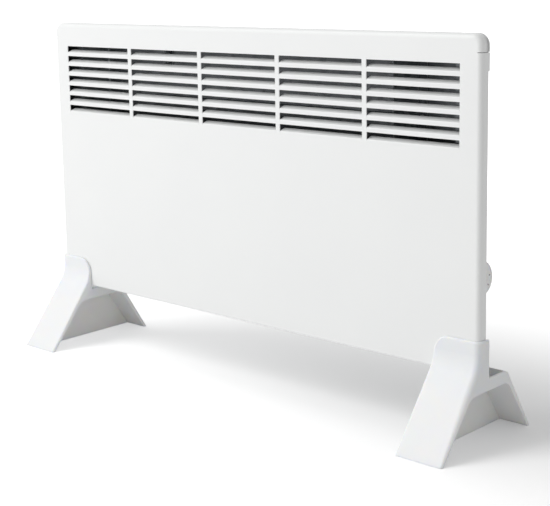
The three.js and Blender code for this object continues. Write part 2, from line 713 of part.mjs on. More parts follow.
// The arch between the legs, open to the floor, with round upper corners.
function archShape() {
  const top = FOOT_ARCH_HEIGHT;
  const below = -1;
  const frontFoot = [footFront(0) + LEG_FOOT, 0];
  const frontTop = [footFront(top) + LEG_TOP, top];
  const backFoot = [footBack(0) - LEG_FOOT, 0];
  const backTop = [footBack(top) - LEG_TOP, top];
  const down = ([u0, v0], [u1, v1]) => [u0 + ((below - v0) * (u1 - u0)) / (v1 - v0), below];
  const toward = ([u0, v0], [u1, v1], distance) => {
    const length = Math.hypot(u1 - u0, v1 - v0);
    return [u0 + ((u1 - u0) * distance) / length, v0 + ((v1 - v0) * distance) / length];
  };
  const shape = new THREE.Shape();
  const at = ([distance, z]) => [behind(distance), z];
  shape.moveTo(...at(down(frontFoot, frontTop)));
  shape.lineTo(...at(toward(frontTop, frontFoot, ARCH_CORNER)));
  shape.quadraticCurveTo(...at(frontTop), ...at([frontTop[0] + ARCH_CORNER, top]));
  shape.lineTo(...at([backTop[0] - ARCH_CORNER, top]));
  shape.quadraticCurveTo(...at(backTop), ...at(toward(backTop, backFoot, ARCH_CORNER)));
  shape.lineTo(...at(down(backFoot, backTop)));
  return shape;
}

// The open tray above the deck, which runs up behind the front plate and follows its bend.
function trayShape() {
  const front = footFront(deckTop) + FOOT_WALL / Math.cos(frontSlant);
  const back = shoulderBack + FOOT_SHOULDER - TRAY_BACK_WALL;
  const over = FOOT_LIP_HEIGHT + 1;
  const shape = new THREE.Shape();
  shape.moveTo(behind(back), deckTop);
  shape.lineTo(behind(front), deckTop);
  shape.absarc(behind(bendCentre), bendTop, FOOT_BEND + FOOT_WALL, -frontSlant, 0, false);
  shape.lineTo(behind(GAP), bendTop);
  shape.lineTo(behind(GAP), over);
  shape.lineTo(behind(back), over);
  return shape;
}

function foot(side) {
  const body = footBody(side).add(footSleeve(side));
  const arch = archShape();
  const webRight = side > 0 ? footOuter - WEB_INSET : footInner + WEB_INSET;
  const webOuter = side > 0 ? webRight : webRight + FOOT_WALL;
  const webInner = webOuter - FOOT_WALL;
  const aboveLips = [FOOT_LIP_HEIGHT, sleeveTop + 1];
  const boardInner = [side * (footInner - 1), side * (coverSide + GAP)].sort((a, b) => a - b);
  const bossCentre = [side * footScrewX, footScrewY, 0];
  const hollowed = carved(body, [
    extrudeBetween(arch, side, webOuter, footOuter + 1, 4),
    extrudeBetween(arch, side, footInner - 1, webInner, 4),
    extrudeBetween(trayShape(), side, footInner + FOOT_WALL, footOuter - FOOT_WALL),
    coverForm(GAP, COVER_DEPTH + SLEEVE_LAP + 1),
    block(boardInner, [behind(COVER_EDGE), behind(FOOT_BACK_REACH)], aboveLips),
    block(
      [side * (footInner - 1), side * (footOuter - FOOT_WALL)].sort((a, b) => a - b),
      [behind(-GAP), behind(FOOT_BACK_REACH)],
      [FOOT_LIP_HEIGHT, coverBottom],
    ),
  ]);
  const boss = cylinder('z', BOSS_RADIUS, deckTop - 1, casingFloor - GAP, bossCentre);
  const hole = cylinder('z', FOOT_SCREW_RADIUS + GAP, FOOT_ARCH_HEIGHT - 1, casingFloor + 1, bossCentre, 12);
  return hollowed.add(boss).subtract(hole);
}

// ---------------------------------------------------------------- Thermostat, spindle, nut and knob

const onKnobAxis = [0, knobAxis.y, knobAxis.z];

function bladeTerminals(y, z, spacing, from, to) {
  return [-1, 1].map((side) => block(
    [from, to],
    [y - BLADE_TERMINAL / 2, y + BLADE_TERMINAL / 2],
    [z + (side * spacing) / 2 - GAP, z + (side * spacing) / 2 + GAP],
  ));
}

function thermostatBody() {
  const halfDepth = THERMOSTAT_DEPTH / 2;
  const halfHeight = THERMOSTAT_HEIGHT / 2;
  const outline = roundedOutline(
    [knobAxis.y - halfDepth, knobAxis.y + halfDepth],
    [knobAxis.z - halfHeight, knobAxis.z + halfHeight],
    [3, 3, 3, 3],
    2,
  );
  const housing = loft([thermostatBack, thermostatSeat].map((x) => outline.map(([y, z]) => [x, y, z])));
  const bush = cylinder('x', BUSH_RADIUS, thermostatSeat - 1, bushEnd, onKnobAxis);
  const bore = cylinder('x', bushHole, spindleStart - GAP, bushEnd + 1, onKnobAxis);
  const tips = [thermostatBack - BLADE_TERMINAL, thermostatBack + 1];
  const terminals = bladeTerminals(knobAxis.y, knobAxis.z, THERMOSTAT_HEIGHT / 2, ...tips);
  return union([housing, bush, ...terminals]).subtract(bore);
}

// The spindle's outer end has a flat, which turns the knob.
function spindleForm(radius, flat, from, to) {
  const shaft = cylinder('x', radius, from, to, onKnobAxis);
  const across = [knobAxis.y - 2 * radius, knobAxis.y + 2 * radius];
  const over = [knobAxis.z + flat, knobAxis.z + 2 * radius];
  return shaft.subtract(block([flatStart, to + 1], across, over));
}

function thermostatSpindle() {
  const end = knobFace - KNOB_WALL - GAP;
  return spindleForm(SPINDLE_RADIUS, SPINDLE_RADIUS - SPINDLE_FLAT, spindleStart, end);
}

function thermostatNut() {
  const nut = cylinder('x', NUT_RADIUS, casingWall + GAP, casingWall + GAP + NUT_HEIGHT, onKnobAxis, 6);
  return nut.subtract(cylinder('x', BUSH_RADIUS + GAP, casingWall, bushEnd, onKnobAxis));
}

// A ring round the knob's grip, with flutes of a given depth.
function knobRing(x, radius, fluteDepth) {
  const perFlute = 4;
  const count = KNOB_FLUTES * perFlute;
  return Array.from({ length: count }, (_, i) => {
    const angle = (2 * Math.PI * i) / count;
    const reach = radius - (fluteDepth * (1 + Math.cos(KNOB_FLUTES * angle))) / 2;
    return [x, knobAxis.y + reach * Math.cos(angle), knobAxis.z + reach * Math.sin(angle)];
  });
}

function thermostatKnob() {
  const grip = loft([
    knobRing(knobBack, KNOB_RADIUS - KNOB_FLUTE_DEPTH, 0),
    knobRing(knobBack + KNOB_FLUTE_DEPTH, KNOB_RADIUS, KNOB_FLUTE_DEPTH),
    knobRing(knobFace - 1.5 * KNOB_WALL, KNOB_RADIUS, KNOB_FLUTE_DEPTH),
    knobRing(knobFace - KNOB_WALL / 2, KNOB_RADIUS - KNOB_WALL / 2, KNOB_FLUTE_DEPTH / 2),
    knobRing(knobFace, KNOB_RADIUS - KNOB_WALL, 0),
  ]);
  const roomRadius = KNOB_RADIUS - 2 * KNOB_WALL;
  const room = cylinder('x', roomRadius, knobBack - 1, knobFace - KNOB_WALL, onKnobAxis, 32);
  const hub = cylinder('x', BUSH_RADIUS + 1, bushEnd + 2 * GAP, knobFace - KNOB_WALL / 2, onKnobAxis);
  const bore = spindleForm(bushHole, SPINDLE_RADIUS - SPINDLE_FLAT + GAP, bushEnd, knobFace - KNOB_WALL);
  return grip.subtract(room).add(hub).subtract(bore);
}

// ---------------------------------------------------------------- Main switch

function switchFrame() {
  const tube = (halfWidth, halfLength, from, to) => block(
    [from, to],
    [knobAxis.y - halfWidth, knobAxis.y + halfWidth],
    [rockerZ - halfLength, rockerZ + halfLength],
  );
  const bezelBase = casingWall + GAP;
  const bezelFace = bezelBase + SWITCH_BEZEL_HEIGHT;
  const bezelWidth = switchBodyWidth + SWITCH_BEZEL;
  const bezelLength = switchBodyLength + SWITCH_BEZEL;
  const bezelOutline = (inset) => roundedOutline(
    [knobAxis.y - bezelWidth + inset, knobAxis.y + bezelWidth - inset],
    [rockerZ - bezelLength + inset, rockerZ + bezelLength - inset],
    [2, 2, 2, 2],
    3,
  );
  const bezel = loft([
    bezelOutline(0).map(([y, z]) => [bezelBase, y, z]),
    bezelOutline(0).map(([y, z]) => [bezelFace - SWITCH_BEZEL_HEIGHT / 2, y, z]),
    bezelOutline(SWITCH_BEZEL_HEIGHT / 2).map(([y, z]) => [bezelFace, y, z]),
  ]);
  const tips = [switchBack - BLADE_TERMINAL, switchBack + 1];
  return carved(
    union([
      bezel,
      tube(switchBodyWidth, switchBodyLength, switchBack, bezelBase + SWITCH_BEZEL_HEIGHT / 2),
      ...bladeTerminals(knobAxis.y, rockerZ, ROCKER_LENGTH, ...tips),
    ]),
    [
      tube(switchHalfWidth, switchHalfLength, switchBack + SWITCH_WALL, bezelFace + 1),
      cylinder(
        'y',
        PIVOT_RADIUS + GAP,
        knobAxis.y - switchBodyWidth - 1,
        knobAxis.y + switchBodyWidth + 1,
        [rockerPivotX, 0, rockerZ],
        12,
      ),
    ],
  );
}

// The rocker's two faces slope down to its middle. At rest its lower end is pressed in.
function rockerSwitch() {
  const crown = ROCKER_PIVOT_DEPTH + ROCKER_CROWN;
  const half = ROCKER_LENGTH / 2;
  const dip = half * Math.tan(ROCKER_SWING);
  const profile = new THREE.Shape();
  profile.moveTo(-half / 2, -ROCKER_PIVOT_DEPTH);
  profile.lineTo(half / 2, -ROCKER_PIVOT_DEPTH);
  profile.lineTo(half, crown - 2 * dip);
  profile.lineTo(half, crown - dip / 2);
  profile.quadraticCurveTo(half / 2, crown - dip, 0, crown - dip);
  profile.quadraticCurveTo(-half / 2, crown - dip, -half, crown - dip / 2);
  profile.lineTo(-half, crown - 2 * dip);
  const body = extruded(profile, 'y', -ROCKER_WIDTH / 2, ROCKER_WIDTH / 2, 4);
  const pinReach = switchHalfWidth + SWITCH_WALL / 2;
  const pin = cylinder('y', PIVOT_RADIUS, -pinReach, pinReach, [0, 0, 0], 12);
  const tilt = THREE.MathUtils.radToDeg(ROCKER_SWING);
  return body.add(pin).rotate([0, tilt, 0]).translate([rockerPivotX, knobAxis.y, rockerZ]);
}

// ---------------------------------------------------------------- Heating element

function elementRod() {
  const neck = ROD_RADIUS * 0.6;
  const shoulder = ROD_OVERHANG / 3;
  return turned([
    [0, rodLeft],
    [neck, rodLeft],
    [neck, rodLeft + shoulder],
    [ROD_RADIUS, rodLeft + shoulder],
    [ROD_RADIUS, rodRight - shoulder],
    [neck, rodRight - shoulder],
    [neck, rodRight],
    [0, rodRight],
  ], 'x', [0, elementY, elementZ]);
}

// An extruded core with four diagonal wings, slotted so that each wing is a row of fins.
function elementFins() {
  const axis = [0, elementY, elementZ];
  const core = cylinder('x', FIN_CORE, finsLeft, finsRight, axis, 12);
  const bore = cylinder('x', ROD_RADIUS + GAP, finsLeft - 1, finsRight + 1, axis);
  const reach = FIN_CORE + WING_LENGTH;
  const cross = [0, 1].map((quarter) => {
    const wing = block([finsLeft, finsRight], [-WING_SHEET / 2, WING_SHEET / 2], [-reach, reach]);
    return wing.rotate([45 + 90 * quarter, 0, 0]).translate(axis);
  });
  const slots = [];
  const count = Math.floor((finsRight - finsLeft - FIN_SLOT) / FIN_PITCH);
  const first = (finsLeft + finsRight) / 2 - ((count - 1) * FIN_PITCH) / 2;
  for (let i = 0; i < count; i += 1) {
    const x = first + i * FIN_PITCH;
    const ring = cylinder('x', reach + 1, x - FIN_SLOT / 2, x + FIN_SLOT / 2, axis, 8);
    slots.push(ring.subtract(cylinder('x', FIN_CORE + 2, x - FIN_SLOT, x + FIN_SLOT, axis, 12)));
  }
  return carved(union([core, ...cross]), [bore, ...slots]);
}

// An end bracket: an upright plate on a toe that is screwed to the casing's floor.
function elementBracket(plateX, toeSide, extraHoles = []) {
  const front = behind(casingMouth + CASING_SHEET);
  const back = behind(backSeat);
  const top = elementZ + BRACKET_RISE;
  const chamfer = BRACKET_TOE / 2;
  const plate = new THREE.Shape([
    new THREE.Vector2(front, bracketSeat),
    new THREE.Vector2(back - CASING_BEND, bracketSeat),
    new THREE.Vector2(back, bracketSeat + CASING_BEND),
    new THREE.Vector2(back, top - chamfer),
    new THREE.Vector2(back - chamfer, top),
    new THREE.Vector2(front + chamfer, top),
    new THREE.Vector2(front, top - chamfer),
  ]);
  const toe = toeSide < 0
    ? [plateX - BRACKET_TOE, plateX + BRACKET_SHEET]
    : [plateX, plateX + BRACKET_SHEET + BRACKET_TOE];
  const through = [plateX - 1, plateX + BRACKET_SHEET + 1];
  const body = extruded(plate, 'x', plateX, plateX + BRACKET_SHEET)
    .add(block(toe, [front, back - CASING_BEND], [bracketSeat, bracketFoot]));
  return carved(body, [
    cylinder('x', ELEMENT_BUSH_NECK + GAP, ...through, [0, elementY, elementZ]),
    cylinder('z', screwHole, casingFloor, bracketFoot + 1, [toeCentre(plateX, toeSide), elementY, 0], 10),
    ...extraHoles,
  ]);
}

function toeCentre(plateX, toeSide) {
  return plateX + BRACKET_SHEET / 2 + (toeSide * (BRACKET_TOE + BRACKET_SHEET)) / 2;
}

function bracketScrewPlaces() {
  return [toeCentre(leftBracketX, 1), toeCentre(rightBracketX, -1)];
}

function elementBush(plateX) {
  const bore = ROD_RADIUS + GAP;
  const neckHalf = BRACKET_SHEET / 2 + GAP;
  return turned([
    [bore, -bushHalf],
    [ELEMENT_BUSH_RADIUS, -bushHalf],
    [ELEMENT_BUSH_RADIUS, -neckHalf],
    [ELEMENT_BUSH_NECK, -neckHalf],
    [ELEMENT_BUSH_NECK, neckHalf],
    [ELEMENT_BUSH_RADIUS, neckHalf],
    [ELEMENT_BUSH_RADIUS, bushHalf],
    [bore, bushHalf],
    [bore, -bushHalf],
  ], 'x', [plateX + BRACKET_SHEET / 2, elementY, elementZ]);
}

// A thin plate held off the casing's back by its stepped upper and lower edges.
function heatShield() {
  const faceBack = shieldFace + SHIELD_SHEET;
  const lipFront = backSeat - SHIELD_SHEET;
  const section = sideShape([
    [shieldFace, shieldBottom],
    [lipFront, shieldBottom],
    [lipFront, shieldBottom - SHIELD_LIP],
    [backSeat, shieldBottom - SHIELD_LIP],
    [backSeat, shieldBottom + SHIELD_SHEET],
    [faceBack, shieldBottom + SHIELD_SHEET],
    [faceBack, shieldTop - SHIELD_SHEET],
    [backSeat, shieldTop - SHIELD_SHEET],
    [backSeat, shieldTop + SHIELD_LIP],
    [lipFront, shieldTop + SHIELD_LIP],
    [lipFront, shieldTop],
    [shieldFace, shieldTop],
  ]);
  const holes = shieldRivetPlaces().map(({ x, z }) => {
    return cylinder('y', rivetHole, behind(lipFront - 1), behind(backSeat + 1), [x, 0, z], 10);
  });
  return carved(extruded(section, 'x', shieldLeft, shieldRight), holes);
}

function shieldRivetPlaces() {
  const inset = 2 * SHIELD_LIP;
  return [shieldLeft + inset, shieldRight - inset].flatMap((x) => [
    { x, z: shieldBottom - SHIELD_LIP / 2 },
    { x, z: shieldTop + SHIELD_LIP / 2 },
  ]);
}

const cutoutRivetSides = [-1, 1].map((side) => elementY + side * (CUTOUT_FLANGE / 2 - 2 * RIVET_RADIUS));

function cutoutRivetHoles() {
  return cutoutRivetSides.map((y) => {
    return cylinder('x', rivetHole, rightBracketX - 1, cutoutSeat + BRACKET_SHEET + 1, [0, y, cutoutZ], 10);
  });
}

function thermalCutout() {
  const halfFlange = CUTOUT_FLANGE / 2;
  const halfHeight = RIVET_HEAD_RADIUS + 1;
  const outline = roundedOutline(
    [elementY - halfFlange, elementY + halfFlange],
    [cutoutZ - halfHeight, cutoutZ + halfHeight],
    [3, 3, 3, 3],
    3,
  );
  const plate = [cutoutSeat, cutoutSeat + BRACKET_SHEET];
  const flange = loft(plate.map((x) => outline.map(([y, z]) => [x, y, z])));
  const can = cylinder('x', CUTOUT_RADIUS, cutoutSeat, cutoutTop, [0, elementY, cutoutZ]);
  const tips = [cutoutTop - 1, cutoutTop + BLADE_TERMINAL];
  const terminals = bladeTerminals(elementY, cutoutZ, CUTOUT_RADIUS, ...tips);
  return carved(union([flange, can, ...terminals]), cutoutRivetHoles());
}

// ---------------------------------------------------------------- Control bay

const partitionScrewX = partitionRight + PARTITION_FLANGE / 2;

function partitionScrewHeights() {
  const middle = (casingFloor + casingRoof) / 2;
  const half = (casingRoof - casingFloor) / 4;
  return [middle - half, middle + half];
}

// The plate between the element and the control bay, with a flange on the casing's back.
function controlPartition() {
  const low = casingFloorTop + GAP;
  const high = casingRoof - CASING_SHEET - GAP;
  const front = COVER_SHEET + GAP;
  const bend = CASING_BEND;
  const outline = sideShape([
    [front, low + bend],
    [casingMouth, low + bend],
    [casingMouth, low],
    [backSeat - bend, low],
    [backSeat, low + bend],
    [backSeat, high - bend],
    [backSeat - bend, high],
    [casingMouth, high],
    [casingMouth, high - CASING_CORNER],
    [front, high - CASING_CORNER],
  ]);
  const plate = extruded(outline, 'x', partitionLeft, partitionRight);
  const flangeLow = low + 2 * bend;
  const flangeHigh = high - 2 * bend;
  const flange = block(
    [partitionLeft, partitionRight + PARTITION_FLANGE],
    [behind(backSeat - BRACKET_SHEET), behind(backSeat)],
    [flangeLow, flangeHigh],
  );
  const clearOfGrille = block(
    [partitionLeft - 1, partitionRight + 1],
    [behind(0), behind(casingMouth)],
    [coverTop - GRILLE_DROP - GRILLE_HEIGHT - ROW_PITCH, coverTop],
  );
  const holes = partitionScrewHeights().map((z) => {
    return cylinder('y', screwHole, behind(backSeat - 2), behind(backSeat + 1), [partitionScrewX, 0, z], 10);
  });
  const leadHole = [0, elementY, leadHoleZ];
  return carved(plate.add(flange), [
    clearOfGrille,
    cylinder('x', LEAD_HOLE_RADIUS, partitionLeft - 1, partitionRight + 1, leadHole),
    ...holes,
  ]);
}

function terminalBlock() {
  const y = [behind(backSeat - BLOCK_DEPTH), behind(backSeat)];
  const half = BLOCK_WIDTH / 2;
  const base = block([blockCentreX - half, blockCentreX + half], y, [blockBottom, blockTop]);
  const pitch = BLOCK_WIDTH / 3;
  const wellDepth = [y[0] - 1, y[0] + BLOCK_DEPTH / 2];
  const tools = [-1, 0, 1].flatMap((place) => {
    const x = blockCentreX + place * pitch;
    const well = cylinder('y', pitch / 4, ...wellDepth, [x, 0, blockTop - pitch / 2], 12);
    const notch = [x + pitch / 2 - SWITCH_WALL / 2, x + pitch / 2 + SWITCH_WALL / 2];
    const split = block(notch, [y[0] - 1, y[0] + BLOCK_DEPTH / 3], [blockBottom - 1, blockTop + 1]);
    return place < 1 ? [well, split] : [well];
  });
  return carved(base, tools);
}

function cordInlet() {
  const low = casingFloor - GAP;
  const high = casingFloorTop + GAP;
  return turned([
    [GROMMET_BORE, low - GROMMET_THICKNESS],
    [GROMMET_FLANGE - 1, low - GROMMET_THICKNESS],
    [GROMMET_FLANGE, low],
    [GROMMET_NECK, low],
    [GROMMET_NECK, high],
    [GROMMET_FLANGE, high],
    [GROMMET_FLANGE - 1, high + GROMMET_THICKNESS],
    [GROMMET_BORE, high + GROMMET_THICKNESS],
    [GROMMET_BORE, low - GROMMET_THICKNESS],
  ], 'z', [grommetX, grommetY, 0]);
}

const earthScrew = {
  x: partitionRight + PARTITION_FLANGE + 2 * SCREW_HEAD_RADIUS,
  z: blockTop + BLOCK_HEIGHT,
};

// ---------------------------------------------------------------- Leads inside the casing

// A lead as a tube along a smooth curve through its points.
function lead(points, steps) {
  const curve = new THREE.CatmullRomCurve3(points.map((point) => new THREE.Vector3(...point)));
  const section = new THREE.Shape().absarc(0, 0, LEAD_RADIUS, 0, 2 * Math.PI, false);
  const options = { steps, extrudePath: curve, curveSegments: 4 };
  return solid(new THREE.ExtrudeGeometry(section, options));
}

const blockOutletY = behind(backSeat - BLOCK_DEPTH / 3);
const blockOutlet = (place) => [
  blockCentreX + (place * BLOCK_WIDTH) / 3,
  blockOutletY,
  blockTop + GAP,
];
const switchTip = switchBack - BLADE_TERMINAL - GAP;
const thermostatTip = thermostatBack - BLADE_TERMINAL - GAP;
const cutoutTip = cutoutTop + BLADE_TERMINAL + GAP;
const leadLoop = 4 * LEAD_RADIUS;

function switchLead() {
  const lower = rockerZ - ROCKER_LENGTH / 2;
  return lead([
    blockOutlet(1),
    [blockOutlet(1)[0], blockOutletY, blockTop + 2 * leadLoop],
    [thermostatTip - 4 * leadLoop, blockOutletY, knobAxis.z],
    [switchTip - leadLoop, knobAxis.y, lower],
    [switchTip, knobAxis.y, lower],
  ], 16);
}

function thermostatLead() {
  const upper = rockerZ + ROCKER_LENGTH / 2;
  const end = knobAxis.z + THERMOSTAT_HEIGHT / 4;
  return lead([
    [switchTip, knobAxis.y, upper],
    [switchTip - 3 * leadLoop, knobAxis.y, upper],
    [thermostatTip - 3 * leadLoop, knobAxis.y, (upper + end) / 2],
    [thermostatTip - 2 * leadLoop, knobAxis.y, end],
    [thermostatTip, knobAxis.y, end],
  ], 14);
}

function cutoutLead() {
  const start = knobAxis.z - THERMOSTAT_HEIGHT / 4;
  const end = cutoutZ + CUTOUT_RADIUS / 2;
  return lead([
    [thermostatTip, knobAxis.y, start],
    [thermostatTip - 2 * leadLoop, knobAxis.y, start],
    [partitionRight, elementY, leadHoleZ + leadLoop / 2],
    [cutoutTip + leadLoop / 2, elementY, end],
    [cutoutTip, elementY, end],
  ], 14);
}

function elementLead() {
  const start = cutoutZ - CUTOUT_RADIUS / 2;
  return lead([
    [cutoutTip, elementY, start],
    [cutoutTip + leadLoop / 2, elementY, start],
    [cutoutTip + leadLoop / 2, elementY - leadLoop, (start + elementZ) / 2],
    [rodRight + leadLoop / 2, elementY, elementZ],
    [rodRight + GAP, elementY, elementZ],
  ], 12);
}

// The neutral lead runs above the heat shield to the element's left end.
function neutralLead() {
  const over = shieldTop + 2 * SHIELD_LIP;
  const back = behind(shieldFace - 2 * leadLoop);
  return lead([
    blockOutlet(0),
    [blockOutlet(0)[0], blockOutletY, blockTop + 2 * leadLoop],
    [partitionRight, elementY + leadLoop / 2, leadHoleZ - leadLoop / 2],
    [rightBracketX + 2 * leadLoop, back, elementZ + BRACKET_RISE + leadLoop],
    [rightBracketX - BRACKET_TOE, back, over],
    [leftBracketX + BRACKET_TOE, back, over],
    [leftBracketX - leadLoop, back, elementZ + BRACKET_RISE],
    [rodLeft - leadLoop / 2, elementY, elementZ],
    [rodLeft - GAP, elementY, elementZ],
  ], 34);
}

function earthLead() {
  const end = behind(backSeat - SCREW_HEAD_HEIGHT - GAP);
  return lead([
    blockOutlet(-1),
    [blockOutlet(-1)[0], blockOutletY, blockTop + leadLoop],
    [earthScrew.x, end - leadLoop, earthScrew.z],
    [earthScrew.x, end - GAP, earthScrew.z],
  ], 8);
}

// ---------------------------------------------------------------- Fasteners

// A pan-head fastener. The underside of its head is at the given place on its axis, and its
// shank runs on from there: forwards along the axis where direction is 1, back where it is -1.
function fastener({ axis, direction, seat, centre, radius, headRadius, headHeight, length }) {
  const at = (distance) => seat + direction * distance;
  return turned([
    [0, at(-headHeight)],
    [headRadius * 0.6, at(-headHeight)],
    [headRadius, at(-headHeight * 0.4)],
    [headRadius, at(0)],
    [radius, at(0)],
    [radius, at(length)],
    [0, at(length)],
  ], axis, centre, 8);
}

const smallScrew = {
  radius: SCREW_RADIUS,
  headRadius: SCREW_HEAD_RADIUS,
  headHeight: SCREW_HEAD_HEIGHT,
  length: SCREW_LENGTH,
};
const rivet = {
  radius: RIVET_RADIUS,
  headRadius: RIVET_HEAD_RADIUS,
  headHeight: RIVET_HEAD_HEIGHT,
};

function coverScrews() {
  const seat = behind(casingMouth + CASING_SHEET + GAP);
  return [-1, 1].flatMap((side) => coverScrewHeights().map((z) => {
    return fastener({ axis: 'y', direction: -1, seat, centre: [side * coverScrewX, 0, z], ...smallScrew });
  }));
}

function footScrews() {
  const length = casingFloorTop - FOOT_ARCH_HEIGHT + 2 * FOOT_SCREW_RADIUS;
  return [-1, 1].map((side) => fastener({
    axis: 'z',
    direction: 1,
    seat: FOOT_ARCH_HEIGHT - GAP,
    centre: [side * footScrewX, footScrewY, 0],
    radius: FOOT_SCREW_RADIUS,
    headRadius: FOOT_SCREW_HEAD_RADIUS,
    headHeight: SCREW_HEAD_HEIGHT,
    length,
  }));
}

function bracketScrews() {
  return bracketScrewPlaces().map((x) => fastener({
    axis: 'z', direction: 1, seat: casingFloor - GAP, centre: [x, elementY, 0], ...smallScrew,
  }));
}

function partitionScrews() {
  const seat = behind(PANEL_DEPTH + GAP);
  return partitionScrewHeights().map((z) => {
    return fastener({ axis: 'y', direction: -1, seat, centre: [partitionScrewX, 0, z], ...smallScrew });
  });
}

function shieldRivets() {
  const seat = behind(PANEL_DEPTH + GAP);
  const length = CASING_SHEET + SHIELD_SHEET + 3 * GAP;
  return shieldRivetPlaces().map(({ x, z }) => {
    return fastener({ axis: 'y', direction: -1, seat, centre: [x, 0, z], ...rivet, length });
  });
}

function cutoutRivets() {
  const seat = rightBracketX - GAP;
  const length = 2 * BRACKET_SHEET + 3 * GAP;
  return cutoutRivetSides.map((y) => {
    return fastener({ axis: 'x', direction: 1, seat, centre: [0, y, cutoutZ], ...rivet, length });
  });
}

function earthScrewSolid() {
  const seat = behind(backSeat);
  const centre = [earthScrew.x, 0, earthScrew.z];
  return fastener({ axis: 'y', direction: 1, seat, centre, ...smallScrew, length: CASING_SHEET + 2 * GAP });
}

// ---------------------------------------------------------------- Materials and assembly

const finish = (color, roughness, metalness) => () => {
  return new THREE.MeshStandardMaterial({ color, roughness, metalness, flatShading: true });
};
const powderCoat = finish('#f0f1f0', 0.4, 0);
const galvanised = finish('#b4b9bb', 0.45, 0.9);
const springSteel = finish('#9aa0a3', 0.35, 1);
const aluminium = finish('#c9ccce', 0.35, 1);
const whitePlastic = finish('#eaecee', 0.5, 0);
const blackPlastic = finish('#26282a', 0.5, 0);
const creamPlastic = finish('#e4ddc8', 0.5, 0);
const ceramic = finish('#e8e2d4', 0.6, 0);
const rubber = finish('#2a2a2a', 0.8, 0);
const brass = finish('#c8a54b', 0.35, 1);
const zincScrew = finish('#c3c6c4', 0.35, 1);
const insulation = (color) => finish(color, 0.5, 0);

function piece(name, form, material) {
  const mesh = form.getMesh();
  const geometry = new THREE.BufferGeometry();
  geometry.setAttribute('position', new THREE.BufferAttribute(mesh.vertProperties, 3));
  geometry.setIndex(new THREE.BufferAttribute(mesh.triVerts, 1));
  geometry.computeVertexNormals();
  const part = new THREE.Mesh(geometry, material());
  part.name = name;
  return part;
}

// The same for a set of like pieces, each with its own number.
function pieces(name, forms, material) {
  return forms.map((form, i) => piece(`${name}_${i + 1}`, form, material));
}

function group(...members) {
  const assembly = new THREE.Group();
  assembly.add(...members);
  return assembly;
}

const body = group(
  piece('front_cover', frontCover(), powderCoat),
  piece('rear_casing', rearCasing(), galvanised),
  ...pieces('cover_screw', coverScrews(), zincScrew),
);

const feet = group(
  piece('left_foot', foot(-1), whitePlastic),
  piece('right_foot', foot(1), whitePlastic),
  ...pieces('foot_screw', footScrews(), zincScrew),
);

const element = group(
  piece('element_rod', elementRod(), springSteel),
  piece('element_fins', elementFins(), aluminium),
  piece('left_element_bracket', elementBracket(leftBracketX, 1), galvanised),
  piece('right_element_bracket', elementBracket(rightBracketX, -1, cutoutRivetHoles()), galvanised),
  piece('left_element_bush', elementBush(leftBracketX), ceramic),
  piece('right_element_bush', elementBush(rightBracketX), ceramic),
  ...pieces('bracket_screw', bracketScrews(), zincScrew),
  piece('heat_shield', heatShield(), aluminium),
  piece('thermal_cutout', thermalCutout(), springSteel),
  ...pieces('shield_rivet', shieldRivets(), aluminium),
  ...pieces('cutout_rivet', cutoutRivets(), aluminium),
);

const controls = group(
  piece('control_partition', controlPartition(), galvanised),
  ...pieces('partition_screw', partitionScrews(), zincScrew),
  piece('thermostat_body', thermostatBody(), creamPlastic),
  piece('thermostat_spindle', thermostatSpindle(), springSteel),
  piece('thermostat_nut', thermostatNut(), brass),
  piece('thermostat_knob', thermostatKnob(), whitePlastic),
  piece('switch_frame', switchFrame(), blackPlastic),
  piece('rocker_switch', rockerSwitch(), blackPlastic),
  piece('terminal_block', terminalBlock(), creamPlastic),
  piece('cord_inlet', cordInlet(), rubber),
  piece('earth_screw', earthScrewSolid(), brass),
);

const leads = group(
  piece('switch_lead', switchLead(), insulation('#6b3f22')),
  piece('thermostat_lead', thermostatLead(), insulation('#6b3f22')),
  piece('cutout_lead', cutoutLead(), insulation('#6b3f22')),
  piece('element_lead', elementLead(), insulation('#6b3f22')),
  piece('neutral_lead', neutralLead(), insulation('#2f5fa8')),
  piece('earth_lead', earthLead(), insulation('#5d8f3a')),
);

export default group(body, feet, element, controls, leads);
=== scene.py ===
# %% [markdown]
# # A wall panel convector heater on two feet
#
# The real heater is a shallow tray of painted sheet steel with a grille of louvres cut and bent
# out of the sheet itself, a galvanised pan behind it, and two moulded feet that grip its ends.
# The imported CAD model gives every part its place. This lesson dresses it: the parts that show
# are built again with finer curves, and every surface gets a material worked out from what it is.
#
# All shapes are written in millimetres and turned to metres when a mesh is made.

import json
import math

import bmesh
import bpy
from mathutils import Matrix, Vector

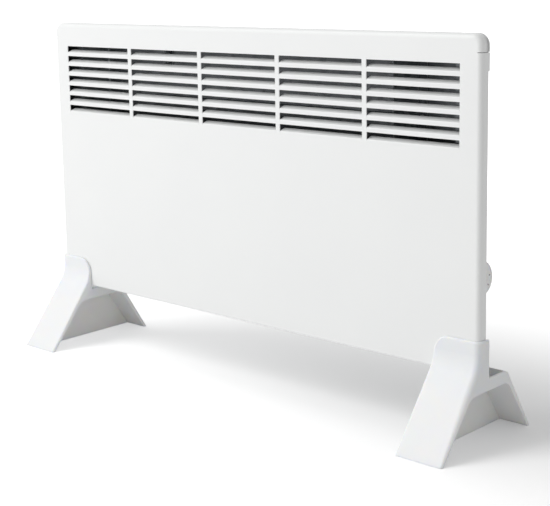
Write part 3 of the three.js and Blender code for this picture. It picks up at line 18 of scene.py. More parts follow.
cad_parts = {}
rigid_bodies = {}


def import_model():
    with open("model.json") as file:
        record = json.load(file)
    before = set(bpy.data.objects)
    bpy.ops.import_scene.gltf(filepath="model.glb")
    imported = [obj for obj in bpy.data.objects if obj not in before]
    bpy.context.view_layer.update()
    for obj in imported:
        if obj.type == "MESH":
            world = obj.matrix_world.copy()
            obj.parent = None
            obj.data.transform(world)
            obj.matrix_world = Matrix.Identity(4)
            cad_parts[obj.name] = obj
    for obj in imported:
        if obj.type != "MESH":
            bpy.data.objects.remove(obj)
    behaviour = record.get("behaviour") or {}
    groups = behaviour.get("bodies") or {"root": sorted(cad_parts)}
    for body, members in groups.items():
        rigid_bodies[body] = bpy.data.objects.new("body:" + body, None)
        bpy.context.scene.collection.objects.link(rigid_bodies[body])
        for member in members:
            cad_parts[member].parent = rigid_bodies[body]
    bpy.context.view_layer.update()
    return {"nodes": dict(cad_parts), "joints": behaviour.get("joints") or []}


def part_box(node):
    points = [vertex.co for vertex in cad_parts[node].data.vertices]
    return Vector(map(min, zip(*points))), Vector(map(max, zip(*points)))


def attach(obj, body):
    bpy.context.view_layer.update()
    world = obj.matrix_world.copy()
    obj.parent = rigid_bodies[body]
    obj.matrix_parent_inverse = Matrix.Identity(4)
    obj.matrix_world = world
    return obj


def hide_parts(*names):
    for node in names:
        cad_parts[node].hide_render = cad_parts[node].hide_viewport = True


for leftover in list(bpy.data.objects):
    bpy.data.objects.remove(leftover)

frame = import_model()
nodes = frame["nodes"]

# %% [markdown]
# ## Sizes
#
# The frame says where each node is, so the big sizes are read from it. Only what a box can't say,
# such as a bend's radius, is written down here, with the same values as the CAD model has.

# %% Read the big sizes and name the small ones
MM = 0.001


def box_mm(node):
    """A CAD node's lowest and highest corner in millimetres."""
    return [[round(value / MM, 3) for value in corner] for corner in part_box(node)]


def middle_mm(node):
    """The middle of a CAD node's box in millimetres."""
    return [(low + high) / 2 for low, high in zip(*box_mm(node))]


(_, COVER_FRONT, COVER_BOTTOM), (COVER_SIDE, _, COVER_TOP) = box_mm("front_cover")
CASING_BACK = box_mm("rear_casing")[1][1]
(KNOB_BACK, KNOB_LOW_Y, _), (KNOB_FACE, KNOB_HIGH_Y, _) = box_mm("thermostat_knob")

SHEET = 1.0  # thickness of the cover's steel
COVER_DEPTH = 14.0
COVER_EDGE = 6.0
COVER_LOWER_EDGE = 2.0
COVER_CORNER = 13.0
COVER_LOWER_CORNER = 3.0
LIP_BEND = 1.5
RETURN_LIP = 9.0
SEAM_DROP = 20.0
SEAM_WIDTH = 0.6
HOOD_STEP = 1.2
TAB_LENGTH = 20.0

print("cover", 2 * COVER_SIDE, "x", COVER_TOP - COVER_BOTTOM, "mm")
print("knob", KNOB_FACE - KNOB_BACK, "mm high,", KNOB_HIGH_Y - KNOB_LOW_Y, "mm across")

# %% [markdown]
# ## The camera
#
# A photograph fixes its camera: the seven rows of slots, the four posts between the columns and
# the outline of the panel all have known sizes, and only one place and one lens draw them where
# the picture has them. The lens is long, so the far end of the panel shrinks only a little.
# The picture's middle is below the lens's axis, which is what a shift lens does, so the camera
# has a small shift instead of a steeper tilt that would make the uprights lean together.

# %% Place the camera
PHOTO_WIDTH, PHOTO_HEIGHT = 550, 506
FOCAL_PIXELS = 1289.0
AXIS_ROW = 190
CAMERA_PLACE = Vector((1117.2, -1158.1, 529.7)) * MM
CAMERA_YAW = math.radians(42.696)
CAMERA_PITCH = math.radians(9.838)
CAMERA_ROLL = math.radians(-1.046)
SENSOR_WIDTH = 36.0

camera_data = bpy.data.cameras.new("camera")
camera_data.sensor_width = SENSOR_WIDTH
camera_data.lens = FOCAL_PIXELS / PHOTO_WIDTH * SENSOR_WIDTH
camera_data.shift_y = -(PHOTO_HEIGHT / 2 - AXIS_ROW) / PHOTO_WIDTH
camera = bpy.data.objects.new("camera", camera_data)
bpy.context.scene.collection.objects.link(camera)

level_right = Vector((math.cos(CAMERA_YAW), math.sin(CAMERA_YAW), 0))
forward = Vector((
    -math.sin(CAMERA_YAW) * math.cos(CAMERA_PITCH),
    math.cos(CAMERA_YAW) * math.cos(CAMERA_PITCH),
    -math.sin(CAMERA_PITCH),
))
level_up = level_right.cross(forward)
right = math.cos(CAMERA_ROLL) * level_right + math.sin(CAMERA_ROLL) * level_up
up = math.cos(CAMERA_ROLL) * level_up - math.sin(CAMERA_ROLL) * level_right
turn = Matrix((right, up, -forward)).transposed().to_4x4()
camera.matrix_world = Matrix.Translation(CAMERA_PLACE) @ turn
bpy.context.scene.camera = camera
print("lens", round(camera_data.lens, 1), "mm, shift", round(camera_data.shift_y, 3))

# %% [markdown]
# ## One helper for nodes, one for colour, one for scale
#
# A material is a small tree of nodes. One function adds a node of any kind, with its settings and
# the links that come into it. Colours are written the way a paint shop's screen shows them, as
# sRGB hex values, and the renderer wants linear light, so one function turns them. Noise textures
# count waves per metre, so a real size in millimetres is turned into that. All the finishes end
# alike, with a texture that drives the roughness and a small relief, so that end is written once.

# %% Helpers for materials
def linear(hex_colour):
    """An sRGB hex colour as linear red, green, blue and alpha."""
    channels = [int(hex_colour[i : i + 2], 16) / 255 for i in (1, 3, 5)]
    turned = [c / 12.92 if c <= 0.04045 else ((c + 0.055) / 1.055) ** 2.4 for c in channels]
    return (*turned, 1.0)


def tones(first, second):
    """Two hex colours as the settings of a node that mixes them."""
    return {"Color1": linear(first), "Color2": linear(second)}


def waves(size_mm):
    """Texture scale at which one wave is this many millimetres long."""
    return 1 / (size_mm * MM)


def add_node(tree, kind, settings=None, links=None):
    """Adds a node with its settings, and links outputs, or other nodes' first outputs, into it."""
    node = tree.nodes.new(kind)
    for name, value in (settings or {}).items():
        if isinstance(name, int) or name in node.inputs:
            node.inputs[name].default_value = value
        else:
            setattr(node, name, value)
    for name, source in (links or {}).items():
        tree.links.new(getattr(source, "outputs", [source])[0], node.inputs[name])
    return node


def new_material(name):
    """An empty material, its node tree, and the output with a point's place on its object."""
    material = bpy.data.materials.new(name)
    material.use_nodes = True
    tree = material.node_tree
    tree.nodes.clear()
    return material, tree, add_node(tree, "ShaderNodeTexCoord").outputs["Object"]


def end_tree(tree, settings, colour, roughness, texture, relief=None, heights=None):
    """Ends a tree with a shader, rough from low to high by a texture.

    The relief is a strength and a height in millimetres, drawn by heights or the same texture.
    """
    span = {"To Min": roughness[0], "To Max": roughness[1]}
    polish = add_node(tree, "ShaderNodeMapRange", span, {"Value": texture})
    links = {"Base Color": colour, "Roughness": polish}
    if relief:
        strength, height = relief
        bump = {"Strength": strength, "Distance": height * MM}
        links["Normal"] = add_node(tree, "ShaderNodeBump", bump, {"Height": heights or texture})
    shader = add_node(tree, "ShaderNodeBsdfPrincipled", settings, links)
    add_node(tree, "ShaderNodeOutputMaterial", links={"Surface": shader})


print("white paint in linear light", [round(c, 3) for c in linear("#f1f2f1")])

# %% [markdown]
# ## Floor and light
#
# The heater stands on a seamless white sweep between two very large soft lights. One is low, in
# front and to the left: it gives the panel its tone, a little brighter at the near left than at
# the right. One is high, in front and to the left too: it puts the soft shadow behind and to the
# right of the feet. Light from everywhere else fills in. Together they stay at a plain level, at
# which white paint comes out about as written. The picture's background is pure white. That comes
# from the floor's own colour and from a white world for the rays that the camera and the glossy
# surfaces send out, never from more light on the heater. So the floor keeps its shadow. The floor's
# own glow for those rays is weaker round a point behind and to the right of the right foot. That
# paints a shadow there, on top of the real one.

# %% Set up the world and the lights
bpy.context.scene.view_settings.view_transform = "Standard"
FILL_STRENGTH = 0.46
SOFTBOXES = {
    # name: its place in metres, its width in metres, its power in watts
    "front_softbox": (Vector((-2.8, -4.0, 1.6)), 3.2, 59),
    "top_softbox": (Vector((-1.6, -1.9, 3.2)), 2.2, 54),
}


def seen_directly(tree):
    """1 for rays that the camera, a gloss or a clear material sends out, 0 for the rest."""
    path = add_node(tree, "ShaderNodeLightPath").outputs
    both = add_node(tree, "ShaderNodeMath", {"operation": "ADD"}, {
        0: path["Is Camera Ray"], 1: path["Is Glossy Ray"],
    })
    return add_node(tree, "ShaderNodeMath", {"operation": "ADD", "use_clamp": True}, {
        0: both, 1: path["Is Transmission Ray"],
    })


world = bpy.data.worlds.new("white_studio")
world.use_nodes = True
tree = world.node_tree
tree.nodes.clear()
strength = add_node(
    tree, "ShaderNodeMapRange", {"To Min": FILL_STRENGTH, "To Max": 1.0},
    {"Value": seen_directly(tree)},
)
studio = add_node(
    tree, "ShaderNodeBackground", {"Color": linear("#ffffff")}, {"Strength": strength}
)
add_node(tree, "ShaderNodeOutputWorld", links={"Surface": studio})
bpy.context.scene.world = world

for name, (stand, width, power) in SOFTBOXES.items():
    softbox = bpy.data.lights.new(name, "AREA")
    softbox.energy = power
    softbox.size = width
    lamp = bpy.data.objects.new(name, softbox)
    lamp.location = stand
    lamp.rotation_euler = stand.to_track_quat("Z", "Y").to_euler()
    bpy.context.scene.collection.objects.link(lamp)
print("fill", FILL_STRENGTH, "and", len(SOFTBOXES), "softboxes")

# %% Lay the floor
NEAR_LIFT, FAR_LIFT = 0.13, 1.0
NEAR_SWEEP, FAR_SWEEP = 0.03, 0.95  # metres from the middle of the painted shadow, and twice that sideways
PAINTED_SHADOW_MIDDLE = (0.33, 0.08, 0)
SQUEEZE = (0.5, 1.0, 1.0)
FLOOR_HALF = 40.0

floor_material, tree, place = new_material("matt_white_paper_sweep")
grain = add_node(tree, "ShaderNodeTexNoise", {"Scale": waves(2.0), "Detail": 3.0})
paper = add_node(tree, "ShaderNodeMixRGB", tones("#f4f4f4", "#f7f7f7"), {"Fac": grain})
matt = add_node(tree, "ShaderNodeBsdfDiffuse", {}, {"Color": paper})
# The floor's glow is weakest round this point, behind and right of the right foot: a painted shadow
# on top of the real one.
from_painted_shadow = add_node(
    tree, "ShaderNodeVectorMath", {"operation": "SUBTRACT", 1: PAINTED_SHADOW_MIDDLE}, {0: place}
)
squeezed = add_node(
    tree, "ShaderNodeVectorMath", {"operation": "MULTIPLY", 1: SQUEEZE}, {0: from_painted_shadow}
)
away = add_node(tree, "ShaderNodeVectorMath", {"operation": "LENGTH"}, {"Vector": squeezed})
brighter = add_node(tree, "ShaderNodeMapRange", {
    "From Min": NEAR_SWEEP, "From Max": FAR_SWEEP, "To Min": NEAR_LIFT, "To Max": FAR_LIFT,
}, {"Value": away.outputs["Value"]})
lift = add_node(
    tree, "ShaderNodeMath", {"operation": "MULTIPLY"}, {0: brighter, 1: seen_directly(tree)}
)
glow = add_node(tree, "ShaderNodeEmission", {}, {"Strength": lift})
lit_paper = add_node(tree, "ShaderNodeAddShader", {}, {0: matt, 1: glow})
add_node(tree, "ShaderNodeOutputMaterial", links={"Surface": lit_paper})

floor_mesh = bpy.data.meshes.new("floor")
floor_corners = [(x, y, 0) for x, y in ((-1, -1), (1, -1), (1, 1), (-1, 1))]
floor_mesh.from_pydata([Vector(c) * FLOOR_HALF for c in floor_corners], [], [(0, 1, 2, 3)])
floor_mesh.materials.append(floor_material)
floor = bpy.data.objects.new("floor", floor_mesh)
bpy.context.scene.collection.objects.link(floor)
print("floor", 2 * FLOOR_HALF, "m wide")

# %% [markdown]
# ## Polyester powder coat on steel
#
# The cover is sprayed with dry polyester powder and baked at about 180 degrees. The powder melts
# and flows, but not quite flat: it keeps a faint orange peel, with waves one to two millimetres
# long and some hundredths high. To the eye that is a soft, slightly restless sheen on an even
# white. The waves are drawn 2.4 mm long, as coarse as a picture of the whole heater can show.

# %% Powder coat
finishes = {}

material, tree, place = new_material("polyester_powder_coat")
drift = add_node(
    tree, "ShaderNodeTexNoise", {"Scale": waves(140), "Detail": 2.0}, {"Vector": place}
)
white = add_node(tree, "ShaderNodeMixRGB", tones("#f3f4f3", "#eff0f0"), {"Fac": drift})
peel = add_node(
    tree, "ShaderNodeTexNoise", {"Scale": waves(2.4), "Detail": 2.0, "Roughness": 0.4},
    {"Vector": place},
)
end_tree(tree, {"IOR": 1.5}, white, (0.34, 0.46), peel, relief=(0.6, 0.03))
finishes["cover_paint"] = material
print("made", material.name)

# %% [markdown]
# ## Hot-dip galvanised steel
#
# The pan behind is bent from strip that has been drawn through molten zinc. As the zinc freezes it
# grows into flat crystals about 8 mm across, the spangle, and each one lies at its own angle, so
# neighbouring patches look lighter or darker and a little more or less matt. Rolling leaves faint
# lines along the strip. It is a metal, so its colour is its reflection and its IOR stays default.
#
# On the faces that look forwards, towards the grille, the zinc is painted a dull dark grey. This is
# painted shade, standing in for the shade inside the casing. That is why the slots of the grille
# look nearly black from outside.

# %% Galvanised steel
material, tree, place = new_material("galvanised_steel")
spangle = add_node(tree, "ShaderNodeTexVoronoi", {"Scale": waves(8.0)}, {"Vector": place})
crystal = add_node(tree, "ShaderNodeSeparateColor", {}, {"Color": spangle.outputs["Color"]})
bright_zinc = add_node(tree, "ShaderNodeMixRGB", tones("#9da2a5", "#b9bdbf"), {"Fac": crystal})
facing = add_node(tree, "ShaderNodeNewGeometry")
direction = add_node(
    tree, "ShaderNodeSeparateXYZ", {}, {"Vector": facing.outputs["True Normal"]}
)
# Faces that look forwards are darkened towards #56585a: painted shade inside the casing.
painted_shade_forward = add_node(
    tree, "ShaderNodeMapRange", {"From Min": -0.3, "From Max": -0.8},
    {"Value": direction.outputs["Y"]},
)
zinc = add_node(
    tree, "ShaderNodeMixRGB", {"Color2": linear("#56585a")}, {"Fac": painted_shade_forward, "Color1": bright_zinc}
)
stretch = add_node(tree, "ShaderNodeMapping", {"Scale": (0.02, 1.0, 1.0)}, {"Vector": place})
rolling = add_node(
    tree, "ShaderNodeTexNoise", {"Scale": waves(0.8), "Detail": 3.0}, {"Vector": stretch}
)
matt_crystal = crystal.outputs["Green"]
end_tree(tree, {"Metallic": 1.0}, zinc, (0.36, 0.56), matt_crystal, (0.35, 0.01), rolling)
finishes["casing_steel"] = material
print("made", material.name)

# %% [markdown]
# ## White mouldings
#
# The feet are injection-moulded polypropylene, a touch cooler in colour than the paint. The mould
# is spark-eroded, which leaves a fine, even pebble of about 0.3 mm, drawn here at 0.9 mm so that
# it shows. The knob is ABS from a polished mould: whiter and glossier. Polypropylene lets light a
# few millimetres in, red furthest, so a 3 mm web with light behind it looks warm and soft. All the
# mouldings share one tree with other numbers, so a loop makes them. IORs run from 1.49 to 1.60.

# %% Moulded plastics
LIGHT_REACH = (1.0, 0.8, 0.55)  # how far red, green and blue go, as shares of the depth
LIGHT_DEPTH = {"foot_plastic": 4.0, "knob_plastic": 1.5}  # millimetres
mouldings = {
    # slot: name, lighter, darker, IOR, roughness low and high, pebble in mm, its height in mm
    "foot_plastic": ("moulded_polypropylene", "#f3f4f5", "#eff0f1", 1.49, 0.40, 0.52, 0.9, 0.020),
    "knob_plastic": ("polished_abs", "#f3f3f2", "#eeeeec", 1.54, 0.24, 0.34, 1.6, 0.006),
    "switch_plastic": ("moulded_nylon", "#26282a", "#1e2022", 1.53, 0.42, 0.56, 0.5, 0.015),
    "control_plastic": ("heat_proof_phenolic", "#e6dec9", "#d9cfb6", 1.60, 0.40, 0.58, 0.7, 0.020),
    "bush_ceramic": ("pressed_steatite", "#ebe5d8", "#ddd5c4", 1.60, 0.45, 0.70, 0.6, 0.030),
    "grommet_rubber": ("moulded_rubber", "#2c2b2a", "#222120", 1.52, 0.62, 0.82, 0.8, 0.030),
}
for slot_name, (name, light, dark, ior, low, high, pebble, height) in mouldings.items():
    material, tree, place = new_material(name)
    flow = add_node(
        tree, "ShaderNodeTexNoise", {"Scale": waves(45), "Detail": 3.0}, {"Vector": place}
    )
    colour = add_node(tree, "ShaderNodeMixRGB", tones(light, dark), {"Fac": flow})
    spark = add_node(
        tree, "ShaderNodeTexNoise", {"Scale": waves(pebble), "Detail": 2.0}, {"Vector": place}
    )
    clear = LIGHT_DEPTH.get(slot_name, 0.0)
    body = {
        "IOR": ior, "Subsurface Weight": 0.5 if clear else 0.0,
        "Subsurface Radius": LIGHT_REACH, "Subsurface Scale": clear * MM,
    }
    end_tree(tree, body, colour, (low, high), spark, relief=(0.6, height))
    finishes[slot_name] = material
print("made", [values[0] for values in mouldings.values()])

# %% [markdown]
# ## Bare metals
#
# The heating rod's stainless sheath has been hot: it has a warm brown bloom in bands. The fins are
# extruded aluminium, drawn through a die, with fine lines along their length. The screws are
# zinc-plated, with a faint mottle, and the earth screw and the nut are brass. In all of them the
# lines run along the part, so the noise is stretched that way.

# %% Metals
metals = {
    # slot: name, lighter, darker, roughness low and high, length of grain along X and across, mm
    "element_sheath": ("heat_bloomed_stainless", "#a79c90", "#7d6f63", 0.30, 0.46, 9.0, 1.2),
    "element_aluminium": ("extruded_aluminium", "#d5d7d8", "#bfc2c4", 0.26, 0.44, 30.0, 0.6),
    "screw_steel": ("zinc_plated_steel", "#c9ccca", "#aeb2b0", 0.24, 0.42, 1.4, 1.0),
    "earth_brass": ("turned_brass", "#cfad5b", "#b5923f", 0.22, 0.38, 2.0, 0.5),
}
for slot_name, (name, light, dark, low, high, along, across) in metals.items():
    material, tree, place = new_material(name)
    stretched = (waves(along), waves(across), waves(across))
    stretch = add_node(tree, "ShaderNodeMapping", {"Scale": stretched}, {"Vector": place})
    grain = add_node(tree, "ShaderNodeTexNoise", {"Scale": 1.0, "Detail": 4.0}, {"Vector": stretch})
    colour = add_node(tree, "ShaderNodeMixRGB", tones(light, dark), {"Fac": grain})
    end_tree(tree, {"Metallic": 1.0}, colour, (low, high), grain, relief=(0.4, 0.01))
    finishes[slot_name] = material
print("made", [values[0] for values in metals.values()])

# %% [markdown]
# ## Silicone insulation
#
# Inside, the leads are covered with extruded silicone rubber, which looks dry and a little waxy.
# Live is brown, neutral blue, and earth green with a yellow stripe that winds along the lead. The
# stripe is a wave across the lead's own direction, about 9 mm from one band to the next.

# %% Lead insulation
STRIPE_SPACING = 9.0
insulations = {
    # slot: name, main colour, second colour
    "brown_insulation": ("brown_silicone", "#6b4028", "#5c3520"),
    "blue_insulation": ("blue_silicone", "#3f6fb0", "#355f9a"),
    "green_insulation": ("green_and_yellow_silicone", "#3d8a45", "#e3cf3c"),
}
for slot_name, (name, main, second) in insulations.items():
    material, tree, place = new_material(name)
    bloom = add_node(
        tree, "ShaderNodeTexNoise", {"Scale": waves(3.0), "Detail": 3.0}, {"Vector": place}
    )
    pattern = bloom
    if slot_name == "green_insulation":
        bands = waves(STRIPE_SPACING) / (2 * math.pi)
        pattern = add_node(
            tree, "ShaderNodeTexWave",
            {"bands_direction": "DIAGONAL", "Scale": bands, "Distortion": 0.2}, {"Vector": place},
        ).outputs["Fac"]
    edge = add_node(
        tree, "ShaderNodeMapRange", {"From Min": 0.45, "From Max": 0.55}, {"Value": pattern}
    )
    colour = add_node(tree, "ShaderNodeMixRGB", tones(main, second), {"Fac": edge})
    end_tree(tree, {"IOR": 1.41}, colour, (0.42, 0.58), bloom, relief=(0.5, 0.02))
    finishes[slot_name] = material
print("made", [values[0] for values in insulations.values()])

# %% [markdown]
# ## Printing ink
#
# The scale on the knob and the marks on the switch are pad-printed, grey on the white knob and
# white on the black rocker: a thin, matt film, slightly uneven where the pad lifted.

# %% Printing inks
inks = []
for name, main, second in (
    ("pad_printed_ink", "#4a4c4e", "#5d5f61"),
    ("white_pad_printed_ink", "#e4e4e2", "#d2d2d0"),
):
    material, tree, place = new_material(name)
    film = add_node(
        tree, "ShaderNodeTexNoise", {"Scale": waves(0.7), "Detail": 3.0}, {"Vector": place}
    )
    colour = add_node(tree, "ShaderNodeMixRGB", tones(main, second), {"Fac": film})
    end_tree(tree, {"IOR": 1.5}, colour, (0.5, 0.7), film)
    inks.append(material)
grey_ink, white_ink = inks
print("made", grey_ink.name, "and", white_ink.name)

# %% [markdown]
# ## Dress the CAD nodes
#
# Every node comes with a plain material named after its slot, and gets the finish of that slot.
# Its mesh comes as loose triangles with flat shading. A small geometry-nodes modifier welds them
# and shades each surface smoothly except across edges sharper than 30 degrees, and a weighted
# normal keeps flat faces flat. The modifier works on the fly, so the node's mesh isn't touched.

# %% Smooth shading below an angle, as a modifier
SHARP_ANGLE = math.radians(30)
WELD_DISTANCE = 1e-6  # metres

smoothing = bpy.data.node_groups.new("smooth_below_angle", "GeometryNodeTree")
for direction in ("INPUT", "OUTPUT"):
    smoothing.interface.new_socket("Geometry", in_out=direction, socket_type="NodeSocketGeometry")
given = add_node(smoothing, "NodeGroupInput")
welded = add_node(
    smoothing, "GeometryNodeMergeByDistance", {"Distance": WELD_DISTANCE}, {"Geometry": given}
)
plain = add_node(
    smoothing, "GeometryNodeRemoveAttribute", {"Name": "custom_normal"}, {"Geometry": welded}
)
smooth = add_node(
    smoothing, "GeometryNodeSetShadeSmooth", {"domain": "FACE"}, {"Geometry": plain}
)
fold = add_node(smoothing, "GeometryNodeInputMeshEdgeAngle")
sharp = add_node(
    smoothing, "FunctionNodeCompare", {"operation": "GREATER_THAN", "B": SHARP_ANGLE}, {"A": fold}
)
creased = add_node(
    smoothing, "GeometryNodeSetShadeSmooth", {"domain": "EDGE", "Shade Smooth": False},
    {"Geometry": smooth, "Selection": sharp},
)
add_node(smoothing, "NodeGroupOutput", links={0: creased})


def shade(piece):
    """Ends a piece's modifiers with smooth shading that keeps its edges and flats."""
    piece.modifiers.new("smooth_below_angle", "NODES").node_group = smoothing
    weighted = piece.modifiers.new("flats_stay_flat", "WEIGHTED_NORMAL")
    weighted.keep_sharp = True


slot_of = {name: node.material_slots[0].material.name for name, node in nodes.items()}
for name, node in nodes.items():
    node.material_slots[0].material = finishes[slot_of[name]]
    shade(node)
print("dressed", len(nodes), "nodes in", len(finishes), "finishes")

# %% [markdown]
# ## Making a piece
#
# Each piece that takes a node's place goes through one function: the slot of its finish, the body
# that it rides on, and the nodes that it stands for. Most shapes are rings of points in
# millimetres with a skin over them.

# %% Helpers for pieces
def place_piece(piece, slot_name, body, *replaced):
    """Links a piece to the scene, its finish and its body, and hides the nodes that it stands for.
    """
    if piece.name not in bpy.context.scene.collection.objects:
        bpy.context.scene.collection.objects.link(piece)
    if not piece.data.materials:
        piece.data.materials.append(finishes[slot_name])
    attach(piece, body)
    if replaced:
        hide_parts(*replaced)
    shade(piece)


def object_from(name, bm):
    """An object from a bmesh in millimetres."""
    bmesh.ops.transform(bm, matrix=Matrix.Scale(MM, 4), verts=bm.verts)
    mesh = bpy.data.meshes.new(name)
    bm.to_mesh(mesh)
    bm.free()
    return bpy.data.objects.new(name, mesh)


def skinned(rings, slits=()):
    """A bmesh over rings that all have the same count, and its loops of vertices.

    A slit is a place on the ring that has no face, in all rows but the last.
    """
    bm = bmesh.new()
    loops = [[bm.verts.new(point) for point in ring] for ring in rings]
    count = len(rings[0])
    for low, high in zip(loops, loops[1:]):
        for i in range(count):
            if i in slits and high is not loops[-1]:
                continue
            j = (i + 1) % count
            bm.faces.new((low[i], low[j], high[j], high[i]))
    return bm, loops


def solid_from_rings(rings):
    """A bmesh over rings, closed at both ends."""
    bm, loops = skinned(rings)
    bm.faces.new(loops[0][::-1])
    bm.faces.new(loops[-1])
    bmesh.ops.recalc_face_normals(bm, faces=bm.faces)
    return bm


def turns(whole, steps):
    """Angles in equal steps, from nothing to the whole."""
    return [whole * step / steps for step in range(steps + 1)]


def rounded_outline(low, high, radii, steps):
    """A rectangle's outline with its own radius at each corner, anticlockwise from low-low."""
    corners = [(low[0], low[1], 1, 1), (high[0], low[1], -1, 1)]
    corners += [(high[0], high[1], -1, -1), (low[0], high[1], 1, -1)]
    points = []
    for quarter, ((u, v, du, dv), radius) in enumerate(zip(corners, radii)):
        centre_u, centre_v = u + du * radius, v + dv * radius
        for angle in turns(math.pi / 2, steps):
            angle += math.pi * (1 + quarter / 2)
            out_u, out_v = radius * math.cos(angle), radius * math.sin(angle)
            points.append((centre_u + out_u, centre_v + out_v))
    return points


def behind(distance):
    """The Y of a point this far behind the front face."""
    return COVER_FRONT + distance


# %% [markdown]
# ## The front cover
#
# One sheet of 1 mm steel. A press draws its rim down over a 6 mm radius, turns a 9 mm lip inwards
# behind it, and cuts each louvre on three sides and bends the strip back about its fourth, so
# that warm air leaves forwards and nothing falls straight in. Nothing is added or taken away,
# which is why a blade is exactly as long as its slot is high.
#
# So it is modelled as a sheet: only its outer skin is drawn, the flat face is filled between its
# outline and the 35 slots, each blade grows from its slot's lower edge, and a Solidify modifier
# gives it all its thickness at once.

# %% The rim, ring by ring
CORNER_STEPS = 10
CORNER_POINTS = CORNER_STEPS + 1
EDGE_STEPS = 8
LIP_STEPS = 4
LEAST_CORNER = 0.5
SEAM_Z = COVER_TOP - SEAM_DROP


def bend_inset(radius, depth):
    """How far a bend draws the outline in, at a depth behind its face."""
    return radius - math.sqrt(radius**2 - (radius - depth) ** 2) if depth < radius else 0.0


def cover_ring(depth, inset, lower_inset):
    """The cover's outline at a depth, with extra points where the seam crosses each side."""
    upper = COVER_CORNER - inset
    lower = max(COVER_LOWER_CORNER - inset, LEAST_CORNER)
    side = COVER_SIDE - inset
    outline = rounded_outline(
        (-side, COVER_BOTTOM + lower_inset), (side, COVER_TOP - inset),
        (lower, lower, upper, upper), CORNER_STEPS,
    )
    seam = [SEAM_Z - SEAM_WIDTH / 2, SEAM_Z + SEAM_WIDTH / 2]
    outline[2 * CORNER_POINTS : 2 * CORNER_POINTS] = [(side, z) for z in seam]
    outline += [(-side, z) for z in seam[::-1]]
    return [(x, behind(depth), z) for x, z in outline]


def drawn_edge(grow=0.0):
    """Depth, inset and lower inset of each ring over the drawn edge, grown by a distance."""
    edge, lower_edge = COVER_EDGE + grow, COVER_LOWER_EDGE + grow
    depths = [edge * (1 - math.cos(angle)) for angle in turns(math.pi / 2, EDGE_STEPS)]
    return [(d, bend_inset(edge, d) - grow, bend_inset(lower_edge, d) - grow) for d in depths]


def rim_sections():
    """Depth, inset and lower inset of each ring, from the flat face round to the lip's edge."""
    sections = drawn_edge()
    for angle in turns(math.pi / 2, LIP_STEPS):
        inset = LIP_BEND * (1 - math.cos(angle))
        sections.append((COVER_DEPTH - LIP_BEND * (1 - math.sin(angle)), inset, inset))
    for inset in (COVER_EDGE, SHEET + RETURN_LIP):
        sections.append((COVER_DEPTH, inset, inset))
    return sections


rim = [cover_ring(*section) for section in rim_sections()]
print(len(rim), "rings of", len(rim[0]), "points round the cover")

# %% [markdown]
# ### The louvres
#
# Five columns of seven slots, 127.5 mm long and 9.6 mm high, with 6.5 mm posts between the
# columns. A blade leans 67 degrees back from the face, over a 1.6 mm bend, and its two free
# corners are rounded so that they don't catch. The cut round it is only 0.4 mm wide. The dark
# notch at a slot's far end comes from the lean: seen from one side, the blade's free edge stands
# clear of that end.

# %% The slots and their blades
COLUMNS, ROWS = 5, 7
SLOT_LENGTH, SLOT_HEIGHT = 127.5, 9.6
POST = 6.5
ROW_PITCH = 13.8
GRILLE_DROP = 32.0
BLADE_LEAN = math.radians(67)
BLADE_BEND = 1.6
BLADE_CORNER = 1.8
BLADE_CUT = 0.4
BLADE_STEPS = 5


def blade_stations(slot_bottom):
    """Depth, height and half length of the blade's skin, from its root to its free edge."""
    half = SLOT_LENGTH / 2 - BLADE_CUT
    stations = []
    for angle in turns(BLADE_LEAN, BLADE_STEPS)[1:]:
        depth = BLADE_BEND * (1 - math.cos(angle))
        stations.append((depth, slot_bottom + BLADE_BEND * math.sin(angle), half))
    root_depth, root_z, _ = stations[-1]
    straight = SLOT_HEIGHT - BLADE_CUT - BLADE_BEND * BLADE_LEAN
    for angle in turns(math.pi / 2, BLADE_STEPS):
        along = straight - BLADE_CORNER * (1 - math.sin(angle))
        stations.append((
            root_depth + along * math.sin(BLADE_LEAN),
            root_z + along * math.cos(BLADE_LEAN),
            half - BLADE_CORNER * (1 - math.cos(angle)),
        ))
    return stations


def closed_edges(bm, loop):
    """The edges round a loop of vertices, made where there are none."""
    return [bm.edges.get(pair) or bm.edges.new(pair) for pair in zip(loop, loop[1:] + loop[:1])]


def add_slot(bm, centre_x, slot_bottom):
    """Adds a slot's outline and its blade, and returns the outline's edges."""
    half = SLOT_LENGTH / 2
    xs = [-half, -half + BLADE_CUT, half - BLADE_CUT, half, half, -half]
    zs = [slot_bottom] * 4 + [slot_bottom + SLOT_HEIGHT] * 2
    loop = [bm.verts.new((centre_x + x, COVER_FRONT, z)) for x, z in zip(xs, zs)]
    edges = closed_edges(bm, loop)
    ends = loop[1:3]
    for depth, z, reach in blade_stations(slot_bottom):
        reached = [bm.verts.new((centre_x + x, behind(depth), z)) for x in (-reach, reach)]
        bm.faces.new((*ends, *reached[::-1]))
        ends = reached
    return edges


# %% The whole sheet
def cover_skin():
    """The cover's outer skin as one open surface."""
    bm, loops = skinned(rim, slits=(2 * CORNER_POINTS, 4 * CORNER_POINTS + 2))
    edges = closed_edges(bm, loops[0])
    for column in range(COLUMNS):
        centre_x = (column - (COLUMNS - 1) / 2) * (SLOT_LENGTH + POST)
        for row in range(ROWS):
            slot_bottom = COVER_TOP - GRILLE_DROP - row * ROW_PITCH - SLOT_HEIGHT
            edges += add_slot(bm, centre_x, slot_bottom)
    bmesh.ops.triangle_fill(bm, use_beauty=True, use_dissolve=False, edges=edges, normal=(0, -1, 0))
    bmesh.ops.recalc_face_normals(bm, faces=bm.faces)
    flat = max(bm.faces, key=lambda face: face.calc_area())
    if flat.normal.y > 0:
        bmesh.ops.reverse_faces(bm, faces=bm.faces)
    return bm


